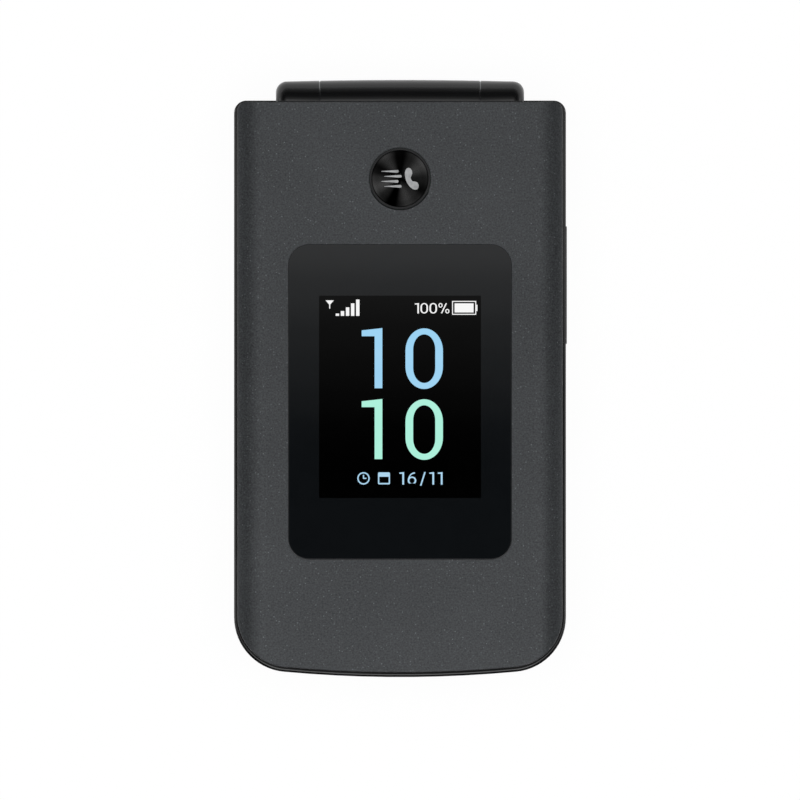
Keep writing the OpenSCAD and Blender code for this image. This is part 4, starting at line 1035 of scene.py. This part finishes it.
# Volume rocker in the right wall: the black frame plastic, with plus and minus moulded into its
# two ends.
ROCKER_Y, ROCKER_Z, ROCKER_FACE = 16.2, 4.9, 28.6
MARK_Y, MARK_HALF, MARK_LINE = 7.6, 0.7, 0.13
rocker_plastic, shader, mm = surface("rocker_plastic")
x, y, z = mm.parts()
y, z = y - ROCKER_Y, z - ROCKER_Z
bar = (abs(abs(y) - MARK_Y) < MARK_HALF) * (abs(z) < MARK_LINE)
cross = (abs(y - MARK_Y) < MARK_LINE) * (abs(z) < MARK_HALF)
mark = x.math("MAXIMUM", bar, cross) * (x > ROCKER_FACE)
spark = grain(mm, 6.0, 1.0)
feed(
    shader,
    Base_Color=mark.blend(spark.blend(FRAME_DARK, FRAME_PALE), (0.06, 0.06, 0.062, 1)),
    Roughness=spark.spread(0.2, 0.26) + mark * 0.2,
    Normal=bump(mark * 0.06 + spark * 0.0015, 1.0, 1.0),
)
piece(merged("volume_rocker"), "rocker_bar", "volume_rocker", rocker_plastic,
      ["volume_rocker"])

# Sockets: the charging socket is a drawn steel shell round a black tongue with gilt pads; the
# headset jack is a black moulding with a plated collar.
TONGUE_Z, TONGUE_HALF, TONGUE_T = 5.12, 3.36, 0.45
PAD_HALF, PAD_PITCH = 2.8, 12.57
COLLAR_X = -26.9
usb_steel, shader, mm = surface("usb_steel")
x, y, z = mm.parts()
inner = (abs(x) < TONGUE_HALF) * (abs(z - TONGUE_Z) < TONGUE_T)
pads = inner * ((x * PAD_PITCH).sine() > 0.0) * (abs(x) < PAD_HALF)
wear = grain(mm, 1.2, 3.0)
shell = wear.blend(grey(0.50), grey(0.60))
feed(
    shader,
    Base_Color=pads.blend(inner.blend(shell, grey(0.008)), (0.70, 0.48, 0.18, 1)),
    Metallic=x.math("MAXIMUM", 1.0 - inner, pads),
    Roughness=wear.spread(0.24, 0.38),
)
jack_plastic, shader, mm = surface("jack_plastic")
collar = mm.parts()[0] < COLLAR_X
wear = grain(mm, 1.5, 2.0)
feed(
    shader,
    Base_Color=collar.blend(wear.blend(grey(0.008), grey(0.014)), grey(0.55)),
    Metallic=collar,
    Roughness=wear.spread(0.28, 0.4),
)

# Inner works: pressed and turned steel, gilt contacts, boards, film, battery and small moulded
# parts, each in its seat. They show only through gaps and openings.


def metal(name, colour, roughness):
    """Bare or plated metal with fine streaks and dull patches."""
    made, shader, mm = surface(name, Metallic=1.0)
    drawn = mm.node("ShaderNodeMapping", {}, {"Vector": mm, "Scale": (0.4, 6.0, 6.0)})
    streak = grain(drawn, 3.0, 2.0)
    pale = tuple(v * 1.12 for v in colour)
    feed(
        shader,
        Base_Color=grain(mm, 0.2, 3.0).blend((*colour, 1), (*pale, 1)),
        Roughness=streak.spread(roughness, roughness + 0.12),
        Normal=bump(streak, 0.2, 0.003),
    )
    return made


def dress(finish, *nodes):
    """Gives CAD nodes a finish."""
    for node in nodes:
        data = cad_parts[node].data
        data.materials.clear()
        data.materials.append(finish)


spring_steel = metal("spring_steel", (0.42, 0.42, 0.43), 0.28)
dress(spring_steel, "hinge_cam", "hinge_follower", "hinge_spring", "lid_chassis",
      "shield_cans", "sim_slot", "receiver", "vibration_motor", "lid_magnet")
greased_steel = metal("greased_steel", (0.035, 0.035, 0.037), 0.4)
dress(greased_steel, "hinge_shaft", "hinge_pin", "hinge_sleeve")
screw_steel = metal("screw_steel", (0.20, 0.20, 0.21), 0.3)
dress(screw_steel, "base_screws", "lid_screws")
dress(metal("gilt_brass", (0.72, 0.50, 0.20), 0.25), "battery_contacts")
dress(usb_steel, "usb_port")
dress(jack_plastic, "headset_jack")

HOLE_PITCH = 21.0
ear_mesh, shader, mm = surface("ear_mesh", Metallic=1.0)
x, y, _ = mm.parts()
# The holes are not cut: the mesh is a plain sheet, and their darkness is painted shade in its
# colour.
holes = (x * HOLE_PITCH).sine() * (y * HOLE_PITCH).sine() > 0.35
feed(
    shader,
    Base_Color=holes.blend(grey(0.12), grey(0.004)),
    Roughness=grain(mm, 2.0).spread(0.3, 0.4),
)
dress(ear_mesh, "earpiece_mesh")

board_green, shader, mm = surface("board_green", Roughness=0.35)
tracks = mm.node("ShaderNodeTexBrick", {}, {
    "Vector": mm, "Scale": 0.55, "Mortar Size": 0.03}, "Fac")
lacquer = grain(mm, 1.2, 3.0).blend((0.005, 0.055, 0.022, 1), (0.009, 0.085, 0.036, 1))
feed(
    shader,
    Base_Color=tracks.blend(lacquer, (0.03, 0.16, 0.07, 1)),
    Normal=bump(tracks, 0.4, 0.03),
)
dress(board_green, "main_board", "lid_board")

for name, dark, pale, roughness, scale, nodes in (
        ("film_clear", (0.55, 0.55, 0.57), (0.66, 0.66, 0.68), 0.3, 2.0, ["dome_sheet"]),
        ("flex_amber", (0.30, 0.10, 0.012), (0.40, 0.15, 0.02), 0.3, 2.0, ["flex_cable"]),
        ("cell_wrap", (0.025, 0.028, 0.034), (0.038, 0.042, 0.050), 0.32, 1.5, ["battery"]),
        ("part_black", (0.010, 0.010, 0.010), (0.018, 0.018, 0.018), 0.4, 3.0,
         ["camera_module", "loudspeaker"]),
        ("bumper_rubber", (0.010, 0.010, 0.010), (0.016, 0.016, 0.016), 0.6, 3.0,
         ["lid_bumpers"]),
        ("pad_silicone", (0.40, 0.40, 0.38), (0.50, 0.50, 0.48), 0.5, 1.5, ["nav_pad"]),
        ("bush_acetal", (0.60, 0.60, 0.56), (0.68, 0.68, 0.64), 0.35, 2.0, ["hinge_bush"]),
        ("panel_glass", (0.010, 0.010, 0.013), (0.018, 0.018, 0.022), 0.12, 1.0,
         ["outer_display", "inner_display"])):
    dress(moulded(name, (*dark, 1), (*pale, 1), roughness, scale), *nodes)
